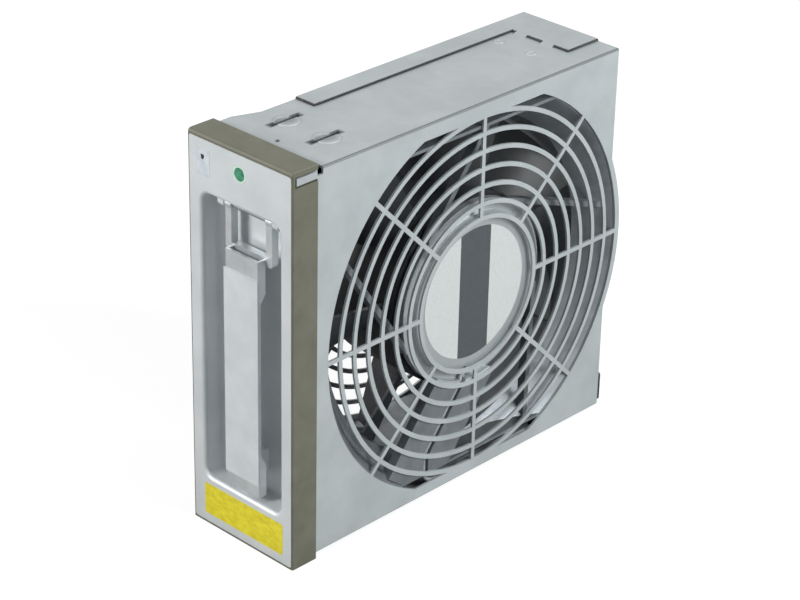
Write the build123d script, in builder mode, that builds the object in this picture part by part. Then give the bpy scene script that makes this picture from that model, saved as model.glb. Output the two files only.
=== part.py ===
from build123d import *
import math
import os

os.makedirs("parts", exist_ok=True)

# Millimetres. X is the width, with the grille side at +X. Y is the depth, with the bezel
# at -Y. Z is up. The origin is under the middle of the whole module, level with the
# bottom of the bezel.

# Fan: a round frame with two flats, and its motor hub
fan_diameter = 172.0
fan_flats = 150.0
fan_thickness = 51.0
bore_margin = 12.4
flat_wall = 1.4
hub_radius = 40.3
tip_gap = 1.0

# Folded sheet case
sheet = 1.0
floor_gap = 8.0
roof_gap = 9.4
front_gap = 5.3
rear_step = 4.8
rim_overhang = 1.6
rim_width = 1.7
rim_shift = 1.0
flare_step = 4.4
flare_start = 9.0
flare_length = 12.0
bend_radius = 0.9
seam_gap = 0.1
flush_gap = 0.05

# Moulded bezel
bezel_depth = 13.0
side_reveal = 0.4
top_lip = 2.1
bottom_lip = 2.2
panel_reveal = 0.9
bezel_wall = 1.6
panel_thickness = 1.4

# One overrun serves every cut that runs past its piece
overrun = 2.0

case_width = fan_thickness + 2 * sheet
case_height = fan_flats + floor_gap + roof_gap + 2 * sheet
bezel_width = case_width + flare_step + 2 * side_reveal
bezel_height = case_height + top_lip + bottom_lip
fan_radius = fan_diameter / 2
bore_radius = fan_radius - bore_margin
bulge_radius = fan_radius + rim_overhang
fan_setback = bezel_depth + sheet + front_gap + fan_radius
total_depth = fan_setback + rim_shift + bulge_radius

face_x = bezel_width / 2 - side_reveal
outlet_x = face_x - sheet
inlet_x = outlet_x - fan_thickness
intake_x = inlet_x - sheet
wide_x = intake_x - flare_step
front_y = -total_depth / 2
back_y = front_y + bezel_depth
wall_y = back_y + sheet
fan_y = front_y + fan_setback
base_z = bottom_lip
case_top = base_z + case_height
case_z = base_z + case_height / 2
fan_z = base_z + sheet + floor_gap + fan_flats / 2
rear_y = fan_y + fan_radius - rear_step
flare_y = back_y + flare_start
straight_y = flare_y + flare_length

spin_axis = Axis((outlet_x, fan_y, fan_z), (-1, 0, 0))
profile_plane = Plane(origin=(outlet_x, fan_y, fan_z), x_dir=(-1, 0, 0), z_dir=(0, 1, 0))


def fan_plane(depth):
    """Plane across the fan at a depth behind its outlet face, with +Y across and +Z up"""
    return Plane(origin=(outlet_x - depth, fan_y, fan_z), x_dir=(0, 1, 0), z_dir=(1, 0, 0))


def write(piece, label):
    """Name a finished piece and write it as its own file"""
    piece.part.label = label
    export_step(piece.part, f"parts/{label}.step")


def ring_slots(inner, outer, pitch, bar, half_flat, spoke_pairs):
    """Draw the curved slots between concentric bars, parted by spokes and held by two flats"""
    count = round((outer + bar / 2 - inner) / pitch)
    step = (outer + bar / 2 - inner) / count
    for ring in reversed(range(count)):
        Circle(inner + (ring + 1) * step - bar / 2)
        Circle(inner + ring * step + bar / 2, mode=Mode.SUBTRACT)
    Rectangle(2 * outer + overrun, 2 * half_flat, mode=Mode.INTERSECT)
    for pair in range(spoke_pairs):
        Rectangle(2 * outer + overrun, bar, rotation=180 * pair / spoke_pairs, mode=Mode.SUBTRACT)


# Grille shell: side panel with the punched ring grille, and the top and bottom flanges.
# Its rear edge bulges round the fan, which reaches past the case. The bulge is struck a
# little behind the fan axis, so the rim is widest at the rear.
bar_width = 1.9
ring_pitch = 7.8
spoke_pairs = 4
eye_gap = 6.4
flat_gap = 3.6
tab_height = 3.0
tab_setback = 2.4
tab_drop = 1.0
relief_size = 3.0
lance_setback = 35.0
lance_spacing = 22.2
lance_length = 16.0
lance_slit = 2.2
lance_radius = 5.4
lance_rise = 0.35
lance_sink = 0.8
vent_hole_radius = 1.3
vent_hole_setback = 19.6
rivet_radius = 1.6
rivet_head_radius = 2.8
rivet_head = 0.8
rivet_inset = 7.0
rivet_shares = [0.12, 0.36, 0.6, 0.84]
connector_width = 26.0
connector_height = 13.3
connector_gap = 8.0
connector_reach = 2.8
connector_inset = 0.2
connector_screw_radius = 1.3
connector_screw_inset = 5.0

grille_half_flat = fan_flats / 2 + flat_gap
eye_ring = hub_radius - eye_gap
rivet_x = intake_x + rivet_inset
rivet_ys = [wall_y + share * (rear_y - wall_y) for share in rivet_shares]
connector_x = outlet_x - connector_inset - connector_width / 2
connector_base = base_z + sheet
connector_drop = fan_z - connector_base - connector_height
connector_back = rear_y + connector_reach
connector_front = fan_y + math.sqrt(fan_radius**2 - min(connector_drop, fan_radius) ** 2) + connector_gap
connector_length = connector_back - connector_front
connector_screw_y = connector_front + connector_screw_inset
connector_screw_xs = [
    connector_x - connector_width / 2 + connector_screw_inset,
    connector_x + connector_width / 2 - connector_screw_inset,
]

with BuildPart() as grille_shell:
    with BuildSketch(Plane.YZ.offset(face_x)):
        with Locations((fan_y + rim_shift, fan_z)):
            Circle(bulge_radius)
        with Locations((fan_y, case_z)):
            Rectangle(2 * total_depth, case_height, mode=Mode.INTERSECT)
        with Locations(((back_y + rear_y) / 2, case_z)):
            Rectangle(rear_y - back_y, case_height)
        with Locations(((front_y + tab_setback + back_y) / 2, case_top - tab_drop - tab_height / 2)):
            Rectangle(back_y - front_y - tab_setback, tab_height)
    extrude(amount=-sheet)
    with BuildSketch(Plane.XY.offset(base_z)) as flange_outline:
        with BuildLine():
            Polyline(
                (face_x, back_y),
                (wide_x + sheet + seam_gap, back_y),
                (wide_x + sheet + seam_gap, flare_y),
                (inlet_x + seam_gap, straight_y),
                (inlet_x + seam_gap, rear_y),
                (face_x, rear_y),
                close=True,
            )
        make_face()
    extrude(amount=sheet)
    with BuildSketch(Plane.XY.offset(case_top)):
        add(flange_outline.sketch_local)
    extrude(amount=-sheet)
    creases = grille_shell.edges().filter_by(Axis.Y).filter_by_position(Axis.X, face_x, face_x)
    fillet(creases.filter_by(lambda e: e.length > total_depth / 2), radius=bend_radius)
    # Ring grille, open in the middle over the motor hub
    with BuildSketch(Plane.YZ.offset(face_x + overrun)):
        with Locations((fan_y, fan_z)):
            ring_slots(
                hub_radius,
                bulge_radius - rim_width,
                ring_pitch,
                bar_width,
                grille_half_flat,
                spoke_pairs,
            )
    extrude(amount=-2 * overrun - sheet, mode=Mode.SUBTRACT)
    with BuildSketch(Plane.YZ.offset(face_x + overrun)):
        with Locations((fan_y, fan_z)):
            ring_slots(
                eye_ring,
                hub_radius - bar_width / 2,
                ring_pitch,
                bar_width,
                hub_radius,
                spoke_pairs,
            )
            Circle(eye_ring - bar_width / 2)
    extrude(amount=-2 * overrun - sheet, mode=Mode.SUBTRACT)
    # Bend relief behind the bezel corner
    with BuildSketch(Plane.YZ.offset(face_x + overrun)):
        with Locations((back_y + relief_size / 2, case_top - relief_size / 2 + overrun / 2)):
            Rectangle(relief_size, relief_size + overrun)
    extrude(amount=-overrun - relief_size, mode=Mode.SUBTRACT)
    # Two guide lances: a slit with one half-moon pressed up and the other pressed down
    lance_places = [
        (-lance_spacing / 2, front_y + lance_setback),
        (lance_spacing / 2, front_y + lance_setback),
    ]
    with BuildSketch(Plane.XY.offset(case_top)):
        with Locations(*lance_places):
            Circle(lance_radius)
        with Locations(*[(x - lance_radius, y) for x, y in lance_places]):
            Rectangle(2 * lance_radius, 2 * lance_radius, mode=Mode.SUBTRACT)
    extrude(amount=lance_rise, taper=45)
    with BuildSketch(Plane.XY.offset(case_top)) as sunken:
        with Locations(*lance_places):
            Circle(lance_radius)
        with Locations(*[(x + lance_radius, y) for x, y in lance_places]):
            Rectangle(2 * lance_radius, 2 * lance_radius, mode=Mode.SUBTRACT)
    extrude(amount=-sheet - lance_sink)
    with BuildSketch(Plane.XY.offset(case_top)):
        add(sunken.sketch_local)
    extrude(amount=-lance_sink, taper=45, mode=Mode.SUBTRACT)
    with BuildSketch(Plane.XY.offset(case_top + overrun)):
        with Locations(*[(x - lance_slit / 2, y) for x, y in lance_places]):
            SlotOverall(lance_length, lance_slit, rotation=90)
        with Locations((0, front_y + vent_hole_setback)):
            Circle(vent_hole_radius)
    extrude(amount=-2 * overrun - sheet - lance_sink, mode=Mode.SUBTRACT)
    # Rivet and connector screw holes in the bottom flange
    with BuildSketch(Plane.XY.offset(base_z - overrun)):
        with Locations(*[(rivet_x, y) for y in rivet_ys]):
            Circle(rivet_radius + flush_gap)
        with Locations(*[(x, connector_screw_y) for x in connector_screw_xs]):
            Circle(connector_screw_radius + flush_gap)
    extrude(amount=2 * overrun + sheet, mode=Mode.SUBTRACT)
write(grille_shell, "grille_shell")

# Intake shell: left panel with its own ring guard, front wall behind the bezel, a strip
# over the top joint that widens to a strap at the rear, and a flange inside the bottom
strip_width = 10.0
strip_setback = 53.0
strap_length = 18.4
strap_width = 41.0
joggle_width = 6.0
joggle_length = 3.0
joggle_shares = [0.31, 0.67]
lower_flange_width = 13.0
fan_screw_margin = 6.5
fan_screw_radius = 1.9
fan_screw_gap = 0.2
lead_hole_radius = 1.4
bezel_screw_radius = 1.3
boss_radius = 3.5
boss_drop = 7.4
boss_rise = 8.0

fan_screw_angles = [45, 135, 225, 315]
fan_screw_ring = fan_radius - fan_screw_margin
fan_screw_places = [
    (
        fan_y + fan_screw_ring * math.cos(math.radians(angle)),
        fan_z + fan_screw_ring * math.sin(math.radians(angle)),
    )
    for angle in fan_screw_angles
]
boss_x = bezel_width / 2 - bezel_wall - boss_radius + seam_gap
boss_places = [
    (side * boss_x, z) for side in (-1, 1) for z in (boss_rise, case_top - boss_drop)
]
channel_x = outlet_x - 2.6 * sheet
lead_drop = 13.8

with BuildPart() as intake_shell:
    with BuildSketch(Plane.XY.offset(base_z)):
        with BuildLine():
            Polyline(
                (outlet_x - seam_gap, back_y),
                (wide_x, back_y),
                (wide_x, flare_y),
                (intake_x, straight_y),
                (intake_x, rear_y),
                (inlet_x, rear_y),
                (inlet_x, straight_y),
                (wide_x + sheet, flare_y),
                (wide_x + sheet, wall_y),
                (outlet_x - seam_gap, wall_y),
                close=True,
            )
        make_face()
    extrude(amount=case_height)
    # The flanges of the other shell close over the front wall
    for level in (base_z, case_top - sheet - seam_gap):
        with BuildSketch(Plane.XY.offset(level)):
            with BuildLine():
                Polyline(
                    (outlet_x + overrun, back_y - overrun),
                    (wide_x + sheet, back_y - overrun),
                    (wide_x + sheet, flare_y),
                    (outlet_x + overrun, flare_y),
                    close=True,
                )
            make_face()
        extrude(amount=sheet + seam_gap, mode=Mode.SUBTRACT)
    # Top strip and rear strap, which lie on the grille shell
    with BuildSketch(Plane.XY.offset(case_top)):
        with Locations((intake_x + strip_width / 2, (front_y + strip_setback + rear_y) / 2)):
            Rectangle(strip_width, rear_y - front_y - strip_setback)
        with Locations((intake_x + strap_width / 2, rear_y - strap_length / 2)):
            Rectangle(strap_width, strap_length)
    extrude(amount=sheet)
    # Two joggles where the strap is clinched to the flange
    with BuildSketch(Plane.YZ.offset(intake_x)):
        with BuildLine():
            Polyline(
                (rear_y - strap_length, case_top),
                (rear_y - strap_length, case_top + sheet),
                (rear_y - strap_length - joggle_length, case_top),
                close=True,
            )
        make_face()
    extrude(amount=strap_width)
    for start, end in ((-1, joggle_shares[0]), (joggle_shares[0], joggle_shares[1]), (joggle_shares[1], 2)):
        low = intake_x + start * strap_width + joggle_width
        high = intake_x + end * strap_width
        low_edge = max(low, intake_x + strip_width)
        with BuildSketch(Plane.YZ.offset(low_edge)):
            with Locations((rear_y - strap_length - joggle_length / 2 - overrun / 2, case_top + sheet / 2)):
                Rectangle(joggle_length + overrun, sheet)
        extrude(amount=high - low_edge, mode=Mode.SUBTRACT)
    # Inner bottom flange
    with BuildSketch(Plane.XY.offset(base_z + sheet)):
        with Locations((inlet_x + lower_flange_width / 2, (straight_y + rear_y) / 2)):
            Rectangle(lower_flange_width, rear_y - straight_y)
    extrude(amount=sheet)
    # Ring guard and fan screw holes
    with BuildSketch(Plane.YZ.offset(intake_x - overrun)):
        with Locations((fan_y, fan_z)):
            ring_slots(
                hub_radius - bar_width / 2,
                bore_radius,
                ring_pitch,
                bar_width,
                bore_radius,
                spoke_pairs,
            )
        with Locations(*fan_screw_places):
            Circle(fan_screw_radius + fan_screw_gap)
    extrude(amount=2 * overrun + sheet, mode=Mode.SUBTRACT)
    # Bezel screw holes and the hole for the lamp lead in the front wall
    with BuildSketch(Plane.XZ.offset(-back_y + overrun)):
        with Locations(*boss_places):
            Circle(bezel_screw_radius + flush_gap)
        with Locations((channel_x, base_z + lead_drop)):
            Circle(lead_hole_radius)
    extrude(amount=-2 * overrun - sheet, mode=Mode.SUBTRACT)
    with BuildSketch(Plane.XY.offset(base_z - overrun)):
        with Locations(*[(rivet_x, y) for y in rivet_ys]):
            Circle(rivet_radius + flush_gap)
    extrude(amount=2 * overrun + 2 * sheet, mode=Mode.SUBTRACT)
write(intake_shell, "intake_shell")

# Rivets that close the bottom joint, flush outside and domed inside
with BuildPart() as shell_rivets:
    with BuildSketch(Plane.XY.offset(base_z)):
        with Locations(*[(rivet_x, y) for y in rivet_ys]):
            Circle(rivet_radius)
    extrude(amount=2 * sheet)
    with BuildSketch(Plane.XY.offset(base_z + 2 * sheet)):
        with Locations(*[(rivet_x, y) for y in rivet_ys]):
            Circle(rivet_head_radius)
    extrude(amount=rivet_head, taper=30)
write(shell_rivets, "shell_rivets")

# Bezel frame: a dark rectangular ring with a rounded lip over the top of the front panel
notch_height = 4.6
notch_setback = 1.2
lip_round = 1.4

panel_width = bezel_width - 2 * panel_reveal
panel_height = bezel_height - top_lip - panel_reveal
panel_z = panel_reveal + panel_height / 2

with BuildPart() as bezel_frame:
    with BuildSketch(Plane.XZ.offset(-back_y)):
        with Locations((0, bezel_height / 2)):
            Rectangle(bezel_width, bezel_height)
        with Locations((0, case_z)):
            Rectangle(bezel_width - 2 * bezel_wall, case_height, mode=Mode.SUBTRACT)
    extrude(amount=bezel_depth)
    # Seat of the front panel
    with BuildSketch(Plane.XZ.offset(-front_y + overrun)):
        with Locations((0, panel_z)):
            Rectangle(panel_width + 2 * seam_gap, panel_height + 2 * seam_gap)
    extrude(amount=-panel_thickness - overrun, mode=Mode.SUBTRACT)
    lip_edges = bezel_frame.edges().filter_by(Axis.X).filter_by_position(Axis.Y, front_y, front_y)
    fillet(lip_edges.sort_by(Axis.Z)[-1], radius=lip_round)
    side_edges = bezel_frame.edges().filter_by(Axis.Z).filter_by_position(Axis.Y, front_y, front_y)
    chamfer(side_edges.sort_by(Axis.X)[0], length=panel_reveal / 2)
    chamfer(side_edges.sort_by(Axis.X)[-1], length=panel_reveal / 2)
    with BuildSketch(Plane.XZ.offset(-back_y)):
        with Locations(*boss_places):
            Circle(boss_radius)
    extrude(amount=bezel_depth - panel_thickness)
    with BuildSketch(Plane.XZ.offset(-back_y - overrun)):
        with Locations(*boss_places):
            Circle(bezel_screw_radius + flush_gap)
    extrude(amount=overrun + bezel_depth - panel_thickness - 2 * sheet, mode=Mode.SUBTRACT)
    # Corner notch that shows the locating tab of the case
    with BuildSketch(Plane.YZ.offset(bezel_width / 2 + overrun)):
        with Locations(
            ((front_y + notch_setback + back_y + overrun) / 2, case_top - notch_height / 2)
        ):
            Rectangle(bezel_depth - notch_setback + overrun, notch_height)
    extrude(amount=-overrun - bezel_wall - seam_gap, mode=Mode.SUBTRACT)
write(bezel_frame, "bezel_frame")

# Screws that hold the bezel to the front wall
screw_head_radius = 2.6
screw_head = 1.8
bezel_screw_length = 8.0

with BuildPart() as bezel_screws:
    with BuildSketch(Plane.XZ.offset(-wall_y)):
        with Locations(*boss_places):
            Circle(bezel_screw_radius)
    extrude(amount=bezel_screw_length)
    with BuildSketch(Plane.XZ.offset(-wall_y)):
        with Locations(*boss_places):
            Circle(screw_head_radius)
    extrude(amount=-screw_head, taper=15)
write(bezel_screws, "bezel_screws")

# Front panel: light plate with a deep hand recess, a lamp window and a small round hole
recess_width = 43.6
recess_bottom = 22.4
recess_top = 149.0
recess_depth = 11.0
recess_corner = 4.0
recess_rim = 1.8
recess_root = 2.4
hinge_drop = 3.0
hinge_setback = 6.2
hinge_lug = 3.4
hinge_lug_gap = 0.4
hinge_radius = 1.25
hinge_gap = 0.05
lug_round = 2.3
loop_width = 26.0
lamp_z = 163.6
lamp_radius = 3.6
dot_x = -20.6
dot_z = 164.3
dot_radius = 1.2
pillar_radius = 2.0
pillar_spacing = 14.0
board_setback = 8.0
board_thickness = 1.6
board_width = 20.0
board_height = 11.0
rest_width = 8.0
rest_height = 10.0
rest_rise = 14.0
strap_setback = 0.6
strap_thickness = 1.2
rest_gap = 0.3
rest_pad = 2.0

recess_height = recess_top - recess_bottom
recess_z = (recess_top + recess_bottom) / 2
hinge_y = front_y + hinge_setback
hinge_z = recess_top - hinge_drop
lug_inner = loop_width / 2 + hinge_lug_gap
rest_z = recess_bottom + rest_rise
rest_face_y = front_y + strap_setback + strap_thickness + rest_gap
recess_back_y = front_y + recess_depth

with BuildPart() as front_panel:
    with BuildSketch(Plane.XZ.offset(-front_y)):
        with Locations((0, panel_z)):
            Rectangle(panel_width, panel_height)
    extrude(amount=-panel_thickness)
    fillet(front_panel.edges().filter_by(Axis.Y), radius=panel_reveal)
    with BuildSketch(Plane.XZ.offset(-front_y)):
        with Locations((0, recess_z)):
            RectangleRounded(
                recess_width + 2 * panel_thickness,
                recess_height + 2 * panel_thickness,
                recess_corner + panel_thickness,
            )
    extrude(amount=-recess_depth - panel_thickness)
    with BuildSketch(Plane.XZ.offset(-front_y)):
        with Locations((0, recess_z)):
            RectangleRounded(recess_width, recess_height, recess_corner)
    extrude(amount=-recess_depth, mode=Mode.SUBTRACT)
    inner_loop = front_panel.edges().filter_by_position(Axis.Y, recess_back_y, recess_back_y)
    fillet(inner_loop, radius=recess_root)
    rim = front_panel.faces().sort_by(Axis.Y)[0].inner_wires()[0].edges()
    fillet(rim, radius=recess_rim)
    # Hinge lugs under the top of the recess
    for side in (-1, 1):
        start_x = side * lug_inner
        with BuildSketch(Plane.YZ.offset(start_x)):
            with Locations((hinge_y, hinge_z)):
                Circle(lug_round)
            with Locations((hinge_y, (hinge_z + recess_top) / 2 + panel_thickness / 2)):
                Rectangle(2 * lug_round, recess_top - hinge_z + panel_thickness)
        extrude(amount=side * hinge_lug)
    with BuildSketch(Plane.YZ.offset(-recess_width / 2)):
        with Locations((hinge_y, hinge_z)):
            Circle(hinge_radius)
    extrude(amount=recess_width, mode=Mode.SUBTRACT)
    # Boss that carries the rest pad behind the lower end of the handle
    with BuildSketch(Plane.XZ.offset(-recess_back_y)):
        with Locations((0, rest_z)):
            Rectangle(rest_width, rest_height)
    extrude(amount=recess_back_y - rest_face_y - rest_pad)
    # Lamp window, small hole and the pillars of the lamp board
    with BuildSketch(Plane.XZ.offset(-front_y - panel_thickness)):
        with Locations((-pillar_spacing / 2, lamp_z), (pillar_spacing / 2, lamp_z)):
            Circle(pillar_radius)
    extrude(amount=-board_setback + panel_thickness)
    with BuildSketch(Plane.XZ.offset(-front_y + overrun)):
        with Locations((0, lamp_z)):
            Circle(lamp_radius)
        with Locations((dot_x, dot_z)):
            Circle(dot_radius)
    extrude(amount=-overrun - panel_thickness, mode=Mode.SUBTRACT)
write(front_panel, "front_panel")

with BuildPart() as handle_rest_pad:
    with BuildSketch(Plane.XZ.offset(-rest_face_y)):
        with Locations((0, rest_z)):
            Rectangle(rest_width, rest_height)
    extrude(amount=-rest_pad)
    fillet(handle_rest_pad.edges().filter_by(Axis.Y), radius=rest_pad / 2)
write(handle_rest_pad, "handle_rest_pad")

# Hinge pin across the lugs
with BuildPart() as handle_pin:
    with BuildSketch(Plane.YZ.offset(-lug_inner - hinge_lug)):
        with Locations((hinge_y, hinge_z)):
            Circle(hinge_radius)
    extrude(amount=2 * (lug_inner + hinge_lug))
write(handle_pin, "handle_pin")

# Handle loop: a flat rectangular bail whose two legs end in eyes on the pin
leg_width = 3.3
loop_thickness = 3.4
loop_drop = 19.0
eye_radius = 2.2
loop_round = 1.2

loop_front_y = hinge_y - loop_thickness / 2
loop_bottom = hinge_z - loop_drop

with BuildPart() as handle_loop:
    with BuildSketch(Plane.XZ.offset(-loop_front_y)):
        with Locations((0, (hinge_z + loop_bottom) / 2)):
            Rectangle(loop_width, hinge_z - loop_bottom)
        with Locations((0, (hinge_z + loop_bottom + leg_width) / 2)):
            Rectangle(loop_width - 2 * leg_width, hinge_z - loop_bottom - leg_width, mode=Mode.SUBTRACT)
    extrude(amount=-loop_thickness)
    long_edges = handle_loop.edges().filter_by(Axis.Y).group_by(Axis.Z)[0]
    fillet(long_edges, radius=loop_round)
    for side in (-1, 1):
        with BuildSketch(Plane.YZ.offset(side * loop_width / 2)):
            with Locations((hinge_y, hinge_z)):
                Circle(eye_radius)
        extrude(amount=-side * leg_width)
    with BuildSketch(Plane.YZ.offset(-loop_width / 2 - overrun)):
        with Locations((hinge_y, hinge_z)):
            Circle(hinge_radius + hinge_gap)
    extrude(amount=loop_width + 2 * overrun, mode=Mode.SUBTRACT)
write(handle_loop, "handle_loop")

# Handle strap: a flat bar with folded cheeks at both ends, which stand on the loop above
strap_bar_width = 18.6
strap_top = 129.6
strap_bottom = 24.6
cheek_length = 18.6
cheek_taper = 4.0

strap_front_y = front_y + strap_setback
cheek_back_y = loop_front_y

with BuildPart() as handle_strap:
    with BuildSketch(Plane.XZ.offset(-strap_front_y)):
        with Locations((0, (strap_top + strap_bottom) / 2)):
            Rectangle(strap_bar_width, strap_top - strap_bottom)
    extrude(amount=-strap_thickness)
    for side in (-1, 1):
        with BuildSketch(Plane.YZ.offset(side * strap_bar_width / 2)):
            for end, inward in ((strap_top, -1), (strap_bottom, 1)):
                with BuildLine():
                    Polyline(
                        (strap_front_y, end),
                        (cheek_back_y, end),
                        (cheek_back_y, end + inward * (cheek_length - cheek_taper)),
                        (strap_front_y + strap_thickness, end + inward * cheek_length),
                        (strap_front_y, end + inward * cheek_length),
                        close=True,
                    )
                make_face()
        extrude(amount=-side * strap_thickness)
    outer = handle_strap.edges().filter_by(Axis.Z).filter_by_position(Axis.Y, strap_front_y, strap_front_y)
    fillet(outer, radius=strap_thickness / 2)
write(handle_strap, "handle_strap")

# Grip cover: a thin plate bonded on the front of the bar between the two end caps
cover_thickness = 0.6
cover_width = 19.4
cover_top_inset = 8.0
cover_bottom_inset = 5.8

cover_top = strap_top - cover_top_inset
cover_bottom = strap_bottom + cover_bottom_inset

with BuildPart() as handle_grip:
    with BuildSketch(Plane.XZ.offset(-strap_front_y)):
        with Locations((0, (cover_top + cover_bottom) / 2)):
            Rectangle(cover_width, cover_top - cover_bottom)
    extrude(amount=cover_thickness)
    cover_edges = handle_grip.edges().filter_by(Axis.Z)
    fillet(cover_edges.group_by(Axis.Y)[0], radius=cover_thickness / 2)
write(handle_grip, "handle_grip")

# Status lamp: a pale ring in the panel, a green lens, the lamp and its board
ring_wall = 0.8
lens_length = 4.0
lens_flange = 0.8
lamp_body_radius = 1.5

with BuildPart() as lamp_ring:
    with BuildSketch(Plane.XZ.offset(-front_y)):
        with Locations((0, lamp_z)):
            Circle(lamp_radius - flush_gap)
            Circle(lamp_radius - ring_wall, mode=Mode.SUBTRACT)
    extrude(amount=-panel_thickness)
write(lamp_ring, "lamp_ring")

with BuildPart() as lamp_lens:
    with BuildSketch(Plane.XZ.offset(-front_y)):
        with Locations((0, lamp_z)):
            Circle(lamp_radius - ring_wall - flush_gap)
    extrude(amount=-lens_length)
    with BuildSketch(Plane.XZ.offset(-front_y - panel_thickness)):
        with Locations((0, lamp_z)):
            Circle(lamp_radius)
    extrude(amount=-lens_flange)
write(lamp_lens, "lamp_lens")

with BuildPart() as lamp_diode:
    with BuildSketch(Plane.XZ.offset(-front_y - lens_length)):
        with Locations((0, lamp_z)):
            Circle(lamp_body_radius)
    extrude(amount=-board_setback + lens_length)
write(lamp_diode, "lamp_diode")

with BuildPart() as lamp_board:
    with BuildSketch(Plane.XZ.offset(-front_y - board_setback)):
        with Locations((0, lamp_z)):
            Rectangle(board_width, board_height)
    extrude(amount=-board_thickness)
write(lamp_board, "lamp_board")

# Fan frame: one casting with the ring, the flared bore, the swept stays and the motor base
flange_depth = 6.0
barrel_depth = 16.0
barrel_wall = 3.0
flare_depth = 13.0
flare_margin = 0.8
base_depth = 3.0
base_floor = 2.0
base_skirt = 3.0
base_wall = 2.0
crown_inset = 4.9
crown_rise = 1.3
stay_setback = 3.0
stay_depth = 4.0
stay_width = 2.4
stay_count = 5
stay_first = 56.5
stay_sweep = 49.1
window_start = 158.0
window_sweep = 30.0
window_inset = 2.6
window_width = 4.2
cable_stay_width = 32.0
cable_stay_angle = -127.3
cable_stay_shares = (-0.240695, -1.039702)
tube_radius = 10.0
bearing_radius = 7.5
bearing_inset = 0.5
shaft_end = 5.6
tube_depth = 36.0
board_screw_radius = 1.1
board_screw_length = 4.0
lug_radius = 4.2
lug_length = 18.0
trough_depth = 3.0
trough_width = 3.2
lead_run_back = 9.0
lead_turn_rise = 9.2358
board_boss_radius = 2.6
board_boss_inset = 12.3
board_depth = 8.5

lead_radius = 1.0
lead_bend = 6.2

crown_radius = hub_radius - crown_inset
board_boss_ring = hub_radius - board_boss_inset
cable_stay_start = (cable_stay_shares[0] * hub_radius, cable_stay_shares[1] * hub_radius)
stay_direction = Vector(1, 0).rotate(Axis.Z, cable_stay_angle)
lead_run = (lead_turn_rise - fan_flats / 2 - cable_stay_start[1]) / stay_direction.Y
lead_entry = Vector(*cable_stay_start) - stay_direction * lead_run_back
lead_turn = Vector(*cable_stay_start) + stay_direction * lead_run
lead_corner = (lead_turn.X, lead_turn.Y)
barrel_radius = bore_radius + barrel_wall
flare_radius = fan_radius - flare_margin
inner_half_flat = fan_flats / 2 - flat_wall

with BuildPart() as fan_bore:
    with BuildSketch(profile_plane):
        with BuildLine():
            Polyline(
                (-overrun, 0),
                (-overrun, flare_radius + overrun * (flare_radius - bore_radius) / flare_depth),
                (flare_depth, bore_radius),
                (fan_thickness - flare_depth, bore_radius),
                (
                    fan_thickness + overrun,
                    flare_radius + overrun * (flare_radius - bore_radius) / flare_depth,
                ),
                (fan_thickness + overrun, 0),
                close=True,
            )
        make_face()
    revolve(axis=spin_axis)
    with BuildSketch(fan_plane(fan_thickness + 2 * overrun)):
        Rectangle(2 * fan_diameter, 2 * inner_half_flat)
    extrude(amount=fan_thickness + 4 * overrun, mode=Mode.INTERSECT)

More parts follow.
